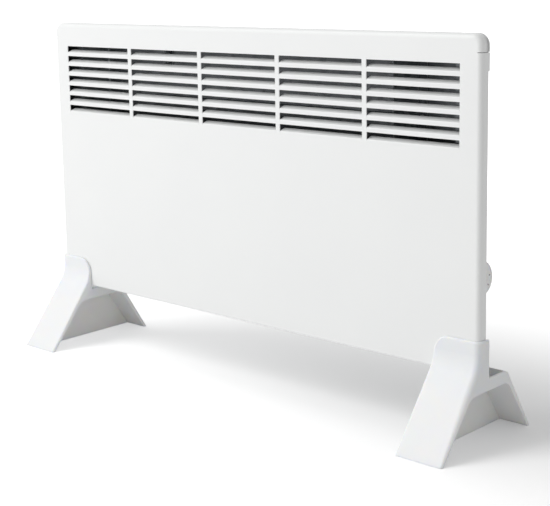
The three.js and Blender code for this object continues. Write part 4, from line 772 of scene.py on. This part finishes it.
def hood_skin():
    """The raised edge of the flange above the corner tabs, as an open strip on each side."""
    start, end = COVER_DEPTH - LIP_BEND, COVER_DEPTH + HOOD_STEP
    tab = SEAM_Z - TAB_LENGTH
    ring = [(x, z) for x, _, z in cover_ring(start, 0, 0)]
    lower_right, upper_right = ring[2 * CORNER_POINTS : 2 * CORNER_POINTS + 2]
    upper_left, lower_left = ring[-2:]
    over = ring[2 * CORNER_POINTS + 2 : -2]
    strips = [
        [(COVER_SIDE, tab), lower_right],
        [upper_right, *over, upper_left],
        [lower_left, (-COVER_SIDE, tab)],
    ]
    bm = bmesh.new()
    for strip in strips:
        pairs = [[bm.verts.new((x, behind(d), z)) for d in (start, end)] for x, z in strip]
        for (a, b), (c, d) in zip(pairs, pairs[1:]):
            bm.faces.new((a, b, d, c))
    return bm


cover_bm = cover_skin()
hood_mesh = bpy.data.meshes.new("hood")
hood_bm = hood_skin()
hood_bm.to_mesh(hood_mesh)
hood_bm.free()
cover_bm.from_mesh(hood_mesh)
print("cover skin:", len(cover_bm.faces), "faces")
cover = object_from("front_cover_sheet", cover_bm)
thickness = cover.modifiers.new("sheet_thickness", "SOLIDIFY")
thickness.thickness = SHEET * MM
thickness.offset = -1
thickness.use_even_offset = True
place_piece(cover, "cover_paint", "heater", "front_cover")

# %% [markdown]
# ## Cutting solids
#
# A moulding with ribs, an arch and a tray is easiest as one swept body from which simple forms are
# cut, just as a toolmaker cuts its mould. Boolean modifiers do the cutting, and the result is
# taken off the modifier stack as a mesh of its own, so that the cutters can be thrown away.

# %% Helpers for cutting
GAP = 0.3
PAST = 1.0  # how far a cutter goes past what it cuts, or a joined form into what it joins
CURVE_STEPS = 6
ROUND_STEPS = 24
SHARP_EDGE = math.radians(35)


def prism(name, outline, axis, low, high):
    """A straight bar: an outline of two coordinates, swept along the third from low to high."""
    at = "xyz".index(axis)
    rings = [[(*point[:at], w, *point[at:]) for point in outline] for w in (low, high)]
    return object_from(name, solid_from_rings(rings))


def box_outline(low, high):
    """The four corners of a rectangle."""
    return [(low[0], low[1]), (high[0], low[1]), (high[0], high[1]), (low[0], high[1])]


def circle_outline(centre, radius, count=ROUND_STEPS):
    """A circle's points."""
    angles = turns(2 * math.pi, count)[:-1]
    return [(centre[0] + radius * math.cos(a), centre[1] + radius * math.sin(a)) for a in angles]


def toward(start, end, distance):
    """The point at a distance from start on the way to end."""
    return start + (end - start).normalized() * distance


def corner_curve(before, corner, after):
    """Points of the quadratic curve that rounds a corner off."""
    shares = [step / CURVE_STEPS for step in range(CURVE_STEPS + 1)]
    return [before * (1 - t) ** 2 + corner * 2 * t * (1 - t) + after * t**2 for t in shares]


def worked(body, *steps):
    """Joins and cuts a body with tools, step by step, and leaves it with the finished mesh."""
    scene_objects = bpy.context.scene.collection.objects
    tools = [tool for _, tool in steps]
    for one in [body, *tools]:
        scene_objects.link(one)
    for operation, tool in steps:
        modifier = body.modifiers.new(tool.name, "BOOLEAN")
        modifier.operation = operation
        modifier.solver = "EXACT"
        modifier.object = tool
    bpy.context.view_layer.update()
    graph = bpy.context.evaluated_depsgraph_get()
    finished = bpy.data.meshes.new_from_object(body.evaluated_get(graph))
    body.modifiers.clear()
    body.data = finished
    for tool in tools:
        bpy.data.objects.remove(tool)
    return body


def finish_edges(piece, name, radius, segments=3):
    """Names a worked piece and rounds its sharp edges, as a mould leaves them."""
    piece.name = piece.data.name = name
    bevel = piece.modifiers.new("rounded_edges", "BEVEL")
    bevel.width = radius * MM
    bevel.segments = segments
    bevel.limit_method = "ANGLE"
    bevel.angle_limit = SHARP_EDGE
    bevel.miter_outer = "MITER_ARC"
    bevel.use_clamp_overlap = True


# %% [markdown]
# ## The feet
#
# Each foot is one polypropylene moulding. Its front plate rises from the floor, bends up against
# the panel over a 40 mm radius and becomes a sleeve that wraps the panel's lower corner. Behind
# it an arch with one web down the middle leads to the slanting back plate. A tray on top takes
# the panel's edge, with a boss for the one screw that holds the foot to the casing.
#
# The form is a stack of horizontal sections, each a rectangle with its own corner radii, because
# the plates lean and the corners grow rounder towards the top.

# %% The foot's outline from the side
FOOT_WIDTH, FOOT_WALL = 62.0, 3.0
FRONT_REACH, BACK_REACH = 75.5, 101.5
LIP_HEIGHT, ARCH_HEIGHT, DECK = 77.5, 64.0, 3.0
BACK_SLANT = math.radians(32)
SHOULDER, FOOT_BEND, BEND_RISE = 8.0, 40.0, 25.5
SLEEVE_RISE, SLEEVE_LAP, SLEEVE_CORNER, SLEEVE_RIM = 39.5, 2.0, 20.0, 1.3
SLEEVE_CORNER_TURN = math.radians(87)
FOOT_EDGE, FOOT_INNER_EDGE, FOOT_BACK_EDGE, TRAY_BACK_WALL = 0.6, 2.4, 1.5, 4.5
LEG_TOP, LEG_FOOT, ARCH_CORNER = 8.0, 5.0, 8.0
WEB_INSET, BOSS_RADIUS, BOSS_STEPS, SCREW_HOLE = 38.0, 5.5, 32, 2.5
CASING_RISE = 9.5  # from the cover's lower edge to the casing's underside
FOOT_STEPS = 8

foot_outer = COVER_SIDE + GAP + FOOT_WALL
foot_inner = foot_outer - FOOT_WIDTH
sleeve_top = COVER_BOTTOM + SLEEVE_RISE
sleeve_front = GAP + FOOT_WALL
bend_top = COVER_BOTTOM + BEND_RISE
bend_centre = -sleeve_front - FOOT_BEND
to_bend = Vector((FRONT_REACH + bend_centre, bend_top))
front_slant = math.atan2(to_bend.x, to_bend.y) + math.asin(FOOT_BEND / to_bend.length)
bend_foot = bend_top - FOOT_BEND * math.sin(front_slant)
deck_top = ARCH_HEIGHT + DECK
boss_top = COVER_BOTTOM + CASING_RISE - GAP


def foot_front(height):
    """How far behind the panel's face the front plate is, at a height."""
    if height >= bend_top:
        return -sleeve_front
    if height <= bend_foot:
        return -FRONT_REACH + height * math.tan(front_slant)
    return bend_centre + math.sqrt(FOOT_BEND**2 - (bend_top - height) ** 2)


def foot_back(height):
    """How far behind the panel's face the back plate is, at a height."""
    return BACK_REACH - height * math.tan(BACK_SLANT)


shoulder_height = LIP_HEIGHT - SHOULDER
shoulder_back = foot_back(shoulder_height) - SHOULDER / math.cos(BACK_SLANT)
print("front plate leans", round(math.degrees(front_slant), 1), "degrees")

# %% The foot's body and its sleeve
def foot_section(side, height, back, inner=foot_inner, rim=0.0):
    """A horizontal section of a foot as a ring of points."""
    outer_radius = FOOT_WALL + min(height / bend_top, 1) * COVER_EDGE
    outline = rounded_outline(
        (inner + rim, foot_front(height) + rim), (foot_outer - rim, back),
        (FOOT_INNER_EDGE, outer_radius - rim, FOOT_BACK_EDGE, FOOT_BACK_EDGE), FOOT_STEPS,
    )
    return [(side * x, behind(distance), height) for x, distance in outline]


def foot_body(side):
    """The part under the panel, from the floor to the lips, with a round shoulder behind."""
    rings = [foot_section(side, 0, foot_back(0))]
    for angle in turns(math.pi / 2 - BACK_SLANT, FOOT_STEPS):
        angle += BACK_SLANT
        height = shoulder_height + SHOULDER * math.sin(angle)
        rings.append(foot_section(side, height, shoulder_back + SHOULDER * math.cos(angle)))
    return object_from("foot_body", solid_from_rings(rings))


def foot_sleeve(side):
    """The sleeve that goes up round the panel's edge, with a round upper inner corner."""
    back = COVER_DEPTH + SLEEVE_LAP
    rings = [
        foot_section(side, LIP_HEIGHT - FOOT_WALL, back, rim=SLEEVE_RIM),
        foot_section(side, LIP_HEIGHT, back),
    ]
    for angle in turns(front_slant, FOOT_STEPS)[:0:-1]:
        height = bend_top - FOOT_BEND * math.sin(angle)
        if height > LIP_HEIGHT:
            rings.append(foot_section(side, height, back))
    for angle in turns(SLEEVE_CORNER_TURN, FOOT_STEPS):
        height = sleeve_top - SLEEVE_CORNER + SLEEVE_CORNER * math.sin(angle)
        inner = foot_inner + SLEEVE_CORNER * (1 - math.cos(angle))
        rim = max(0, SLEEVE_RIM - (sleeve_top - height))
        if height > rings[-1][0][2]:
            rings.append(foot_section(side, height, back, inner, rim))
    return object_from("foot_sleeve", solid_from_rings(rings))


# %% The forms that are cut from a foot
def arch_outline():
    """The opening between the legs, open to the floor, as Y and Z points."""
    front_foot = Vector((foot_front(0) + LEG_FOOT, 0))
    front_top = Vector((foot_front(ARCH_HEIGHT) + LEG_TOP, ARCH_HEIGHT))
    back_foot = Vector((foot_back(0) - LEG_FOOT, 0))
    back_top = Vector((foot_back(ARCH_HEIGHT) - LEG_TOP, ARCH_HEIGHT))
    front_side = toward(front_top, front_foot, ARCH_CORNER)
    back_side = toward(back_top, back_foot, ARCH_CORNER)
    across = Vector((ARCH_CORNER, 0))
    points = [front_foot + (front_foot - front_top) / ARCH_HEIGHT]
    points += corner_curve(front_side, front_top, front_top + across)
    points += corner_curve(back_top - across, back_top, back_side)
    points.append(back_foot + (back_foot - back_top) / ARCH_HEIGHT)
    return [(behind(p.x), p.y) for p in points]


def tray_outline():
    """The open tray above the deck, which follows the bend of the front plate."""
    front = foot_front(deck_top) + FOOT_WALL / math.cos(front_slant)
    back = shoulder_back + SHOULDER - TRAY_BACK_WALL
    points = [(back, deck_top), (front, deck_top)]
    reach = FOOT_BEND + FOOT_WALL
    for step in range(FOOT_STEPS + 1):
        angle = -front_slant * (1 - step / FOOT_STEPS)
        points.append((bend_centre + reach * math.cos(angle), bend_top + reach * math.sin(angle)))
    points += [(GAP, bend_top), (GAP, LIP_HEIGHT + PAST), (back, LIP_HEIGHT + PAST)]
    return [(behind(y), z) for y, z in points]


def cover_room(grow, mouth):
    """The room that the cover takes up, a little larger, as a solid to cut with."""
    rings = [[(x, y - grow, z) for x, y, z in cover_ring(*part)] for part in drawn_edge(grow)]
    rings.append(cover_ring(mouth, -grow, -grow))
    return object_from("cover_room", solid_from_rings(rings))


def make_foot(side, name, node):
    """One foot, worked from its body like a mould."""

    def cut(form, outline, low, high):
        """A bar across the foot, to be cut from it."""
        return "DIFFERENCE", prism(form, outline, "x", *sorted((side * low, side * high)))

    web_outer = foot_outer - WEB_INSET if side > 0 else foot_inner + WEB_INSET + FOOT_WALL
    far = behind(BACK_REACH)
    lip_room = box_outline((behind(COVER_EDGE), LIP_HEIGHT), (far, sleeve_top + PAST))
    seat = box_outline((behind(-GAP), LIP_HEIGHT), (far, COVER_BOTTOM))
    screw_x, screw_y, _ = middle_mm("foot_screw_2")
    screw_place = (side * abs(screw_x), screw_y)
    boss = circle_outline(screw_place, BOSS_RADIUS, BOSS_STEPS)
    hole = circle_outline(screw_place, SCREW_HOLE)
    piece = worked(
        foot_body(side),
        ("UNION", foot_sleeve(side)),
        cut("outer_arch", arch_outline(), web_outer, foot_outer + PAST),
        cut("inner_arch", arch_outline(), foot_inner - PAST, web_outer - FOOT_WALL),
        cut("tray", tray_outline(), foot_inner + FOOT_WALL, foot_outer - FOOT_WALL),
        ("DIFFERENCE", cover_room(GAP, COVER_DEPTH + SLEEVE_LAP + PAST)),
        cut("lip_room", lip_room, foot_inner - PAST, COVER_SIDE + GAP),
        cut("seat", seat, foot_inner - PAST, foot_outer - FOOT_WALL),
        ("UNION", prism("boss", boss, "z", deck_top - PAST, boss_top)),
        ("DIFFERENCE", prism("hole", hole, "z", ARCH_HEIGHT - PAST, boss_top + PAST)),
    )
    print(name, len(piece.data.polygons), "faces before its edges are rounded")
    finish_edges(piece, name, FOOT_EDGE)
    place_piece(piece, "foot_plastic", "heater", node)


make_foot(1, "right_foot_moulding", "right_foot")
make_foot(-1, "left_foot_moulding", "left_foot")

# %% [markdown]
# ## The thermostat's knob
#
# A hollow ABS cap with 24 flutes for the fingertips, a chamfered rim and a face that is dished
# half a millimetre so that the printed scale isn't rubbed. It turns 280 degrees, and the number
# at the top is the setting, so the numbers run anticlockwise from the top over those 280 degrees.
# It is a stack of rings again: round the outside, over the rim, and back down inside the skirt.

# %% The knob
FLUTES, FLUTE_DEPTH, POINTS_PER_FLUTE = 24, 0.7, 6
KNOB_WALL, KNOB_DISH = 2.0, 0.5
HUB_RADIUS, HUB_END, SPINDLE_BORE = 6.0, 325.6, 3.3  # the end is a place along X
KNOB_TURN = math.radians(280)
KNOB_CENTRE = middle_mm("thermostat_knob")[1:]
KNOB_RADIUS = (KNOB_HIGH_Y - KNOB_LOW_Y) / 2
dish = KNOB_FACE - KNOB_DISH
ceiling = KNOB_FACE - KNOB_WALL
skirt = KNOB_RADIUS - 2 * KNOB_WALL


def knob_ring(x, radius, flute):
    """A ring round the knob's axis, drawn in at its flutes."""
    count = FLUTES * POINTS_PER_FLUTE
    ring = []
    for angle in turns(2 * math.pi, count)[:-1]:
        reach = radius - flute * (1 + math.cos(FLUTES * angle)) / 2
        y, z = KNOB_CENTRE[0] + reach * math.cos(angle), KNOB_CENTRE[1] + reach * math.sin(angle)
        ring.append((x, y, z))
    return ring


knob_profile = [
    # X, radius, depth of the flutes there
    (dish, 0.5, 0.0),
    (dish, 8.0, 0.0),
    (KNOB_FACE - 0.1, 8.4, 0.0),
    (KNOB_FACE - 0.1, 9.2, 0.0),
    (dish, 9.6, 0.0),
    (dish, 17.2, 0.0),
    (KNOB_FACE - 0.1, 17.8, 0.0),
    (KNOB_FACE, 18.3, 0.0),
    (KNOB_FACE - 0.15, 18.9, 0.1),
    (KNOB_FACE - 1.0, 19.9, 0.3),
    (KNOB_FACE - 2.0, 20.6, 0.5),
    (KNOB_FACE - 3.2, KNOB_RADIUS, FLUTE_DEPTH),
    (KNOB_BACK + 1.0, KNOB_RADIUS, FLUTE_DEPTH),
    (KNOB_BACK + 0.3, KNOB_RADIUS - 0.3, FLUTE_DEPTH),
    (KNOB_BACK, KNOB_RADIUS - 0.8, FLUTE_DEPTH / 2),
    (KNOB_BACK, skirt, 0.0),
    (ceiling, skirt, 0.0),
    (ceiling, HUB_RADIUS, 0.0),
    (HUB_END, HUB_RADIUS, 0.0),
    (HUB_END, SPINDLE_BORE, 0.0),
    (ceiling, SPINDLE_BORE, 0.0),
    (ceiling, 0.5, 0.0),
]
knob_rings = [knob_ring(*row) for row in knob_profile]
knob = object_from("thermostat_knob_cap", solid_from_rings(knob_rings))
place_piece(knob, "knob_plastic", "knob", "thermostat_knob")
print("knob has", len(knob.data.polygons), "faces")

# %% [markdown]
# ### Its printed scale
#
# Plain numbers from 0 to 6 on the dished face, and bars on the chamfer: a long one at each number
# and a short one half way to the next. Letters come as Text objects. They are turned into thin
# solid meshes and joined with the bars into one piece that turns with the knob.

# %% The scale
SCALE_NUMBERS = 7
NUMBER_SIZE, NUMBER_RADIUS, NUMBER_DEPTH = 4.4, 13.6, 0.45
BAR_RADIUS, BAR_DEPTH, BAR_LEAN = 19.42, 0.62, math.radians(40)
BAR_HALF_WIDTH, BAR_OUT, LONG_BAR_IN, SHORT_BAR_IN = 0.35, 0.7, 0.9, 0.5
INK_THICKNESS = 0.06
STAND = Matrix(((0, 0, 1), (1, 0, 0), (0, 1, 0))).to_4x4()  # turns a flat mark to face +X


def printed_mark(text, size):
    """A text, centred, as a thin mesh in millimetres."""
    curve = bpy.data.curves.new("mark", "FONT")
    curve.body = text
    curve.size = size
    curve.align_x, curve.align_y = "CENTER", "CENTER"
    curve.extrude = INK_THICKNESS / 2
    lettering = bpy.data.objects.new("mark", curve)
    mesh = bpy.data.meshes.new_from_object(lettering)
    bpy.data.objects.remove(lettering)
    return mesh


def on_face(share, radius, depth, lean=0.0):
    """Takes a flat mark to a share of the scale, at a radius and a depth below the knob's rim."""
    centre = Matrix.Translation((KNOB_FACE - depth, *KNOB_CENTRE))
    spin = Matrix.Rotation(KNOB_TURN * share, 4, "X")
    out = Matrix.Translation((0, 0, radius)) @ Matrix.Rotation(lean, 4, "Y")
    return centre @ spin @ out @ STAND


scale_bm = bmesh.new()
for number in range(SCALE_NUMBERS):
    mesh = printed_mark(str(number), NUMBER_SIZE)
    mesh.transform(on_face(number / (SCALE_NUMBERS - 1), NUMBER_RADIUS, NUMBER_DEPTH))
    scale_bm.from_mesh(mesh)
last_half = 2 * (SCALE_NUMBERS - 1)
for half in range(last_half + 1):
    inwards = SHORT_BAR_IN if half % 2 else LONG_BAR_IN
    outline = box_outline((-BAR_HALF_WIDTH, -inwards), (BAR_HALF_WIDTH, BAR_OUT))
    bar = prism("bar", outline, "z", -INK_THICKNESS / 2, INK_THICKNESS / 2).data
    bar.transform(Matrix.Scale(1 / MM, 4))
    bar.transform(on_face(half / last_half, BAR_RADIUS, BAR_DEPTH, -BAR_LEAN))
    scale_bm.from_mesh(bar)
scale = object_from("knob_scale", scale_bm)
scale.data.materials.append(grey_ink)
place_piece(scale, "knob_plastic", "knob")
print("scale from 0 to", SCALE_NUMBERS - 1)

# %% [markdown]
# ## The main switch
#
# A snap-in rocker: a black nylon frame with a rocker whose two faces slope to its middle. The
# pressed side tells its state, so the bar, for on, is on the upper face and the ring, for off, on
# the lower. The rocker is drawn level about its pivot, then tipped 10 degrees to its rest.

# %% The rocker
ROCKER_SWING = math.radians(10)
ROCKER_HALF, ROCKER_HALF_WIDTH, ROCKER_EDGE = 7.5, 4.5, 0.35
PIVOT_DEPTH, ROCKER_CROWN, PIVOT_RADIUS, PIVOT_REACH = 4.5, 2.4, 1.0, 5.7
PIVOT = [value / MM for value in frame["joints"][1]["pos_m"]]
crown = PIVOT_DEPTH + ROCKER_CROWN
dip = ROCKER_HALF * math.tan(ROCKER_SWING)
tip = Matrix.Translation(Vector(PIVOT) * MM) @ Matrix.Rotation(ROCKER_SWING, 4, "Y")

# The rocker's side as X and Z points about its pivot: its flat back, then over the two faces.
slope = corner_curve(
    Vector((crown - dip, 0)), Vector((crown - dip, ROCKER_HALF / 2)),
    Vector((crown - dip / 2, ROCKER_HALF)),
)
rocker_side = [(-PIVOT_DEPTH, -ROCKER_HALF / 2), (-PIVOT_DEPTH, ROCKER_HALF / 2)]
rocker_side.append((crown - 2 * dip, ROCKER_HALF))
rocker_side += [(x, z) for x, z in slope[::-1]] + [(x, -z) for x, z in slope[1:]]
rocker_side.append((crown - 2 * dip, -ROCKER_HALF))
pin = circle_outline((0, 0), PIVOT_RADIUS)
rocker = worked(
    prism("rocker", rocker_side, "y", -ROCKER_HALF_WIDTH, ROCKER_HALF_WIDTH),
    ("UNION", prism("pin", pin, "y", -PIVOT_REACH, PIVOT_REACH)),
)
rocker.data.transform(tip)
finish_edges(rocker, "main_switch_rocker", ROCKER_EDGE)
place_piece(rocker, "switch_plastic", "rocker", "rocker_switch")
print("rocker tips about", [round(value, 1) for value in PIVOT])

# %% [markdown]
# ### Its marks
#
# The marks are white, because the nylon is black. They are letters too, a plain I and O, stood up
# level and then lowered onto the curve of the rocker's face, and tipped together with it.

# %% The bar and the ring
MARK_SIZE = 4.2
MARK_HEIGHT = 4.4

marks_bm = bmesh.new()
for text, height in (("I", MARK_HEIGHT), ("O", -MARK_HEIGHT)):
    mark = printed_mark(text, MARK_SIZE)
    mark.transform(Matrix.Translation((0, 0, height)) @ STAND)
    for vertex in mark.vertices:
        vertex.co.x += crown - dip + (vertex.co.z / ROCKER_HALF) ** 2 * dip / 2
    marks_bm.from_mesh(mark)
rocker_marks = object_from("rocker_marks", marks_bm)
rocker_marks.data.transform(tip)
rocker_marks.data.materials.append(white_ink)
place_piece(rocker_marks, "switch_plastic", "rocker")
print("marks", MARK_HEIGHT, "mm above and below the pivot")

# %% [markdown]
# ### Its frame
#
# The frame is a nylon box pushed through the wall from outside. A bezel with round corners stops
# it, two holes in its sides carry the rocker's pins, and two tinned blades behind take the leads.

# %% The frame
(FRAME_BACK, _, _), (BEZEL_FACE, BEZEL_HIGH_Y, BEZEL_HIGH_Z) = box_mm("switch_frame")
BEZEL, BEZEL_HEIGHT, BEZEL_CORNER, BEZEL_STEPS = 2.0, 1.6, 2.0, 3
FRAME_WALL, FRAME_LAP, FRAME_EDGE, BORE_REACH = 1.2, 0.8, 0.2, 9.0
BLADE, BLADE_THICKNESS = 5.0, 0.6
bezel_half = (BEZEL_HIGH_Y - PIVOT[1], BEZEL_HIGH_Z - PIVOT[2])
box_half = [half - BEZEL for half in bezel_half]
room_half = [half - FRAME_WALL for half in box_half]
box_back = FRAME_BACK + BLADE
bezel_base = BEZEL_FACE - BEZEL_HEIGHT
bezel_edge = BEZEL_HEIGHT / 3


def about_pivot(half_y, half_z, up=0.0):
    """Two opposite corners, as Y and Z, of a rectangle that far above the switch's axis."""
    z = PIVOT[2] + up
    return (PIVOT[1] - half_y, z - half_z), (PIVOT[1] + half_y, z + half_z)


def bezel_ring(x, inset):
    """The bezel's outline at a place along X, drawn in by an inset."""
    corners = about_pivot(*[half - inset for half in bezel_half])
    outline = rounded_outline(*corners, [BEZEL_CORNER - inset] * 4, BEZEL_STEPS * 2)
    return [(x, y, z) for y, z in outline]


def across_frame(name, low, high, *rectangle):
    """A bar along X with a rectangle about the switch's axis as its outline."""
    return prism(name, box_outline(*about_pivot(*rectangle)), "x", low, high)


rings = [bezel_ring(bezel_base, 0)]
for angle in turns(math.pi / 2, BEZEL_STEPS):
    x = BEZEL_FACE - bezel_edge * (1 - math.sin(angle))
    rings.append(bezel_ring(x, bezel_edge * (1 - math.cos(angle))))
blade_half = (BLADE / 2, BLADE_THICKNESS / 2)
blade_end = box_back + PAST
bore = circle_outline((PIVOT[0], PIVOT[2]), PIVOT_RADIUS + GAP)
frame_piece = worked(
    object_from("bezel", solid_from_rings(rings)),
    ("UNION", across_frame("box", box_back, bezel_base + FRAME_LAP, *box_half)),
    ("UNION", across_frame("upper_blade", FRAME_BACK, blade_end, *blade_half, ROCKER_HALF)),
    ("UNION", across_frame("lower_blade", FRAME_BACK, blade_end, *blade_half, -ROCKER_HALF)),
    ("DIFFERENCE", across_frame("room", box_back + FRAME_WALL, BEZEL_FACE + PAST, *room_half)),
    ("DIFFERENCE", prism("bore", bore, "y", PIVOT[1] - BORE_REACH, PIVOT[1] + BORE_REACH)),
)
finish_edges(frame_piece, "main_switch_frame", FRAME_EDGE, segments=2)
place_piece(frame_piece, "switch_plastic", "heater", "switch_frame")
print("frame", round(2 * bezel_half[0], 1), "x", round(2 * bezel_half[1], 1), "mm")

# %% [markdown]
# ## The cups behind the hanging holes
#
# Two keyholes in the casing's back take the screws of a wall. A shallow drawn cup, spot-welded by
# its flange, closes each one from inside, so that a screw's head can't reach the element and no
# daylight shows through the grille. One loft makes it: from the cup's inner floor out over the
# flange and back along its outer wall.

# %% A drawn cup on each keyhole
CASING_SHEET = 0.8
KEYHOLE_SPACING, KEYHOLE_DROP = 400.0, 42.5
KEYHOLE_MIDDLE = COVER_TOP - KEYHOLE_DROP
CUP_HALF_WIDTH, CUP_HALF_HEIGHT = 12.0, 15.0
CUP_DEPTH = 9.0
CUP_FLANGE = 5.0
CUP_CORNER = 6.0


def cup_ring(centre_x, grown, depth):
    """The cup's outline grown by a distance, at a depth in front of the casing's back."""
    half_x, half_z = CUP_HALF_WIDTH + grown, CUP_HALF_HEIGHT + grown
    outline = rounded_outline(
        (centre_x - half_x, KEYHOLE_MIDDLE - half_z), (centre_x + half_x, KEYHOLE_MIDDLE + half_z),
        [CUP_CORNER + grown] * 4, CORNER_STEPS,
    )
    return [(x, CASING_BACK - CASING_SHEET - depth, z) for x, z in outline]


cup_sections = [
    # grown, depth in front of the casing's back
    (-CASING_SHEET, CUP_DEPTH - CASING_SHEET),
    (-CASING_SHEET, 0.0),
    (CUP_FLANGE, 0.0),
    (CUP_FLANGE, CASING_SHEET),
    (0.0, CASING_SHEET),
    (0.0, CUP_DEPTH),
]
for side, side_name in ((-1, "left"), (1, "right")):
    rings = [cup_ring(side * KEYHOLE_SPACING / 2, *section) for section in cup_sections]
    cup = object_from(side_name + "_hanging_cup", solid_from_rings(rings))
    place_piece(cup, "casing_steel", "heater")
print("cups", 2 * CUP_HALF_WIDTH, "x", 2 * CUP_HALF_HEIGHT, "mm,", CUP_DEPTH, "mm deep")

# %% [markdown]
# ## Screws and rivets
#
# The screws are thread-forming: a pan head with a cross recess, stamped cold, and a rolled thread
# whose crests stand out from the wire. The thread is a stack of rings in which the crest moves
# round by a little from each ring to the next. The rivets are the blind kind, pulled from one side,
# which leaves a dimple where the mandrel snapped off. Each is made once and copied to its places.

# %% One screw and one rivet, along the Z axis, heads up
THREAD_PITCH, THREAD_DEPTH, RINGS_PER_PITCH = 1.3, 0.4, 6
RUN_IN, TAPER, POINT_WIDTH = 1 / 4, 1 / 5, 0.7  # shares of the length, and of the radius
CROSS_REACH, CROSS_HALF, CROSS_FLOOR = 0.62, 0.13, 0.35  # shares of the head, as below
HEAD_SHAPE = (
    # shares of the head's radius and height, from its middle to its rim
    (0.03, 1.0), (0.45, 0.99), (0.72, 0.90), (0.90, 0.70), (0.98, 0.45), (1.0, 0.25), (1.0, 0.06),
    (0.97, 0.0),
)
DIMPLE_SHAPE = ((0.3, 0.45), (0.33, 0.90))
DIMPLE_MIDDLE = 0.05  # millimetres
TAIL_START, TAIL_WIDTH = 0.9, 0.85


def turned_ring(radius, z, depth=0.0, phase=0.0):
    """A ring about Z whose radius dips once on the way round, as a thread's does."""
    ring = []
    for i in range(ROUND_STEPS):
        angle = 2 * math.pi * i / ROUND_STEPS
        wave = abs(2 * ((phase - i / ROUND_STEPS) % 1) - 1)
        reach = radius - depth * wave
        ring.append((reach * math.cos(angle), reach * math.sin(angle), z))
    return ring


def make_screw(name, head_radius, head_height, radius, length):
    """A screw whose head's underside is at zero."""
    rings = [turned_ring(share * head_radius, level * head_height) for share, level in HEAD_SHAPE]
    steps = int(length / THREAD_PITCH * RINGS_PER_PITCH)
    for step in range(steps + 1):
        z = -length * step / steps
        start = min(1.0, step / steps / RUN_IN)
        point = min(1.0, (steps - step) / steps / TAPER)
        wire = radius * (POINT_WIDTH + (1 - POINT_WIDTH) * point)
        rings.append(turned_ring(wire, z, THREAD_DEPTH * start * point, z / THREAD_PITCH))
    wing, slot = CROSS_REACH * head_radius, CROSS_HALF * head_radius
    cuts = []
    for u, v in ((wing, slot), (slot, wing)):
        depth = (CROSS_FLOOR * head_height, head_height + PAST)
        cuts.append(("DIFFERENCE", prism("cross", box_outline((-u, -v), (u, v)), "z", *depth)))
    return worked(object_from(name, solid_from_rings(rings)), *cuts)


def make_rivet(name, head_radius, head_height, radius, length):
    """A blind rivet whose head's underside is at zero."""
    head = (*DIMPLE_SHAPE, *HEAD_SHAPE[1:])
    profile = [(share * head_radius, level * head_height) for share, level in head]
    profile.insert(0, (DIMPLE_MIDDLE, profile[0][1]))
    profile += [(radius, 0), (radius, -TAIL_START * length), (TAIL_WIDTH * radius, -length)]
    return object_from(name, solid_from_rings([turned_ring(r, z) for r, z in profile]))


# %% Put them in their places
SCREW_HEAD, RIVET_HEAD = 2.0, 1.0  # heights
DOWN, BACK, FRONT, LEFT = (Vector(v) for v in ((0, 0, -1), (0, 1, 0), (0, -1, 0), (-1, 0, 0)))
fastener_sets = [
    # first part of the nodes' names, how many, where the head points, maker, head and shank radius
    ("cover_screw", 6, BACK, make_screw, 3.0, 1.7),
    ("foot_screw", 2, DOWN, make_screw, 4.2, 2.2),
    ("bracket_screw", 2, DOWN, make_screw, 3.0, 1.7),
    ("partition_screw", 2, BACK, make_screw, 3.0, 1.7),
    ("earth_screw", 0, FRONT, make_screw, 3.0, 1.7),
    ("shield_rivet", 4, BACK, make_rivet, 2.8, 1.6),
    ("cutout_rivet", 2, LEFT, make_rivet, 2.8, 1.6),
]
for kind, count, heading, maker, head_radius, radius in fastener_sets:
    node_names = [f"{kind}_{i + 1}" for i in range(count)] or [kind]
    low, high = (Vector(corner) for corner in box_mm(node_names[0]))
    head_height = SCREW_HEAD if maker is make_screw else RIVET_HEAD
    full = abs((high - low).dot(heading))
    master = maker(kind, head_radius, head_height, radius, full - head_height)
    turn = heading.to_track_quat("Z", "Y").to_matrix().to_4x4()
    for node_name in node_names:
        seat = Vector(middle_mm(node_name)) + heading * (full / 2 - head_height)
        mesh = master.data.copy()
        mesh.transform(Matrix.Translation(seat * MM) @ turn)
        mesh.name = node_name + "_turned"
        placed = bpy.data.objects.new(mesh.name, mesh)
        place_piece(placed, slot_of[node_name], "heater", node_name)
    bpy.data.objects.remove(master)
    print(kind, "x", len(node_names), "-", len(mesh.polygons), "faces each")
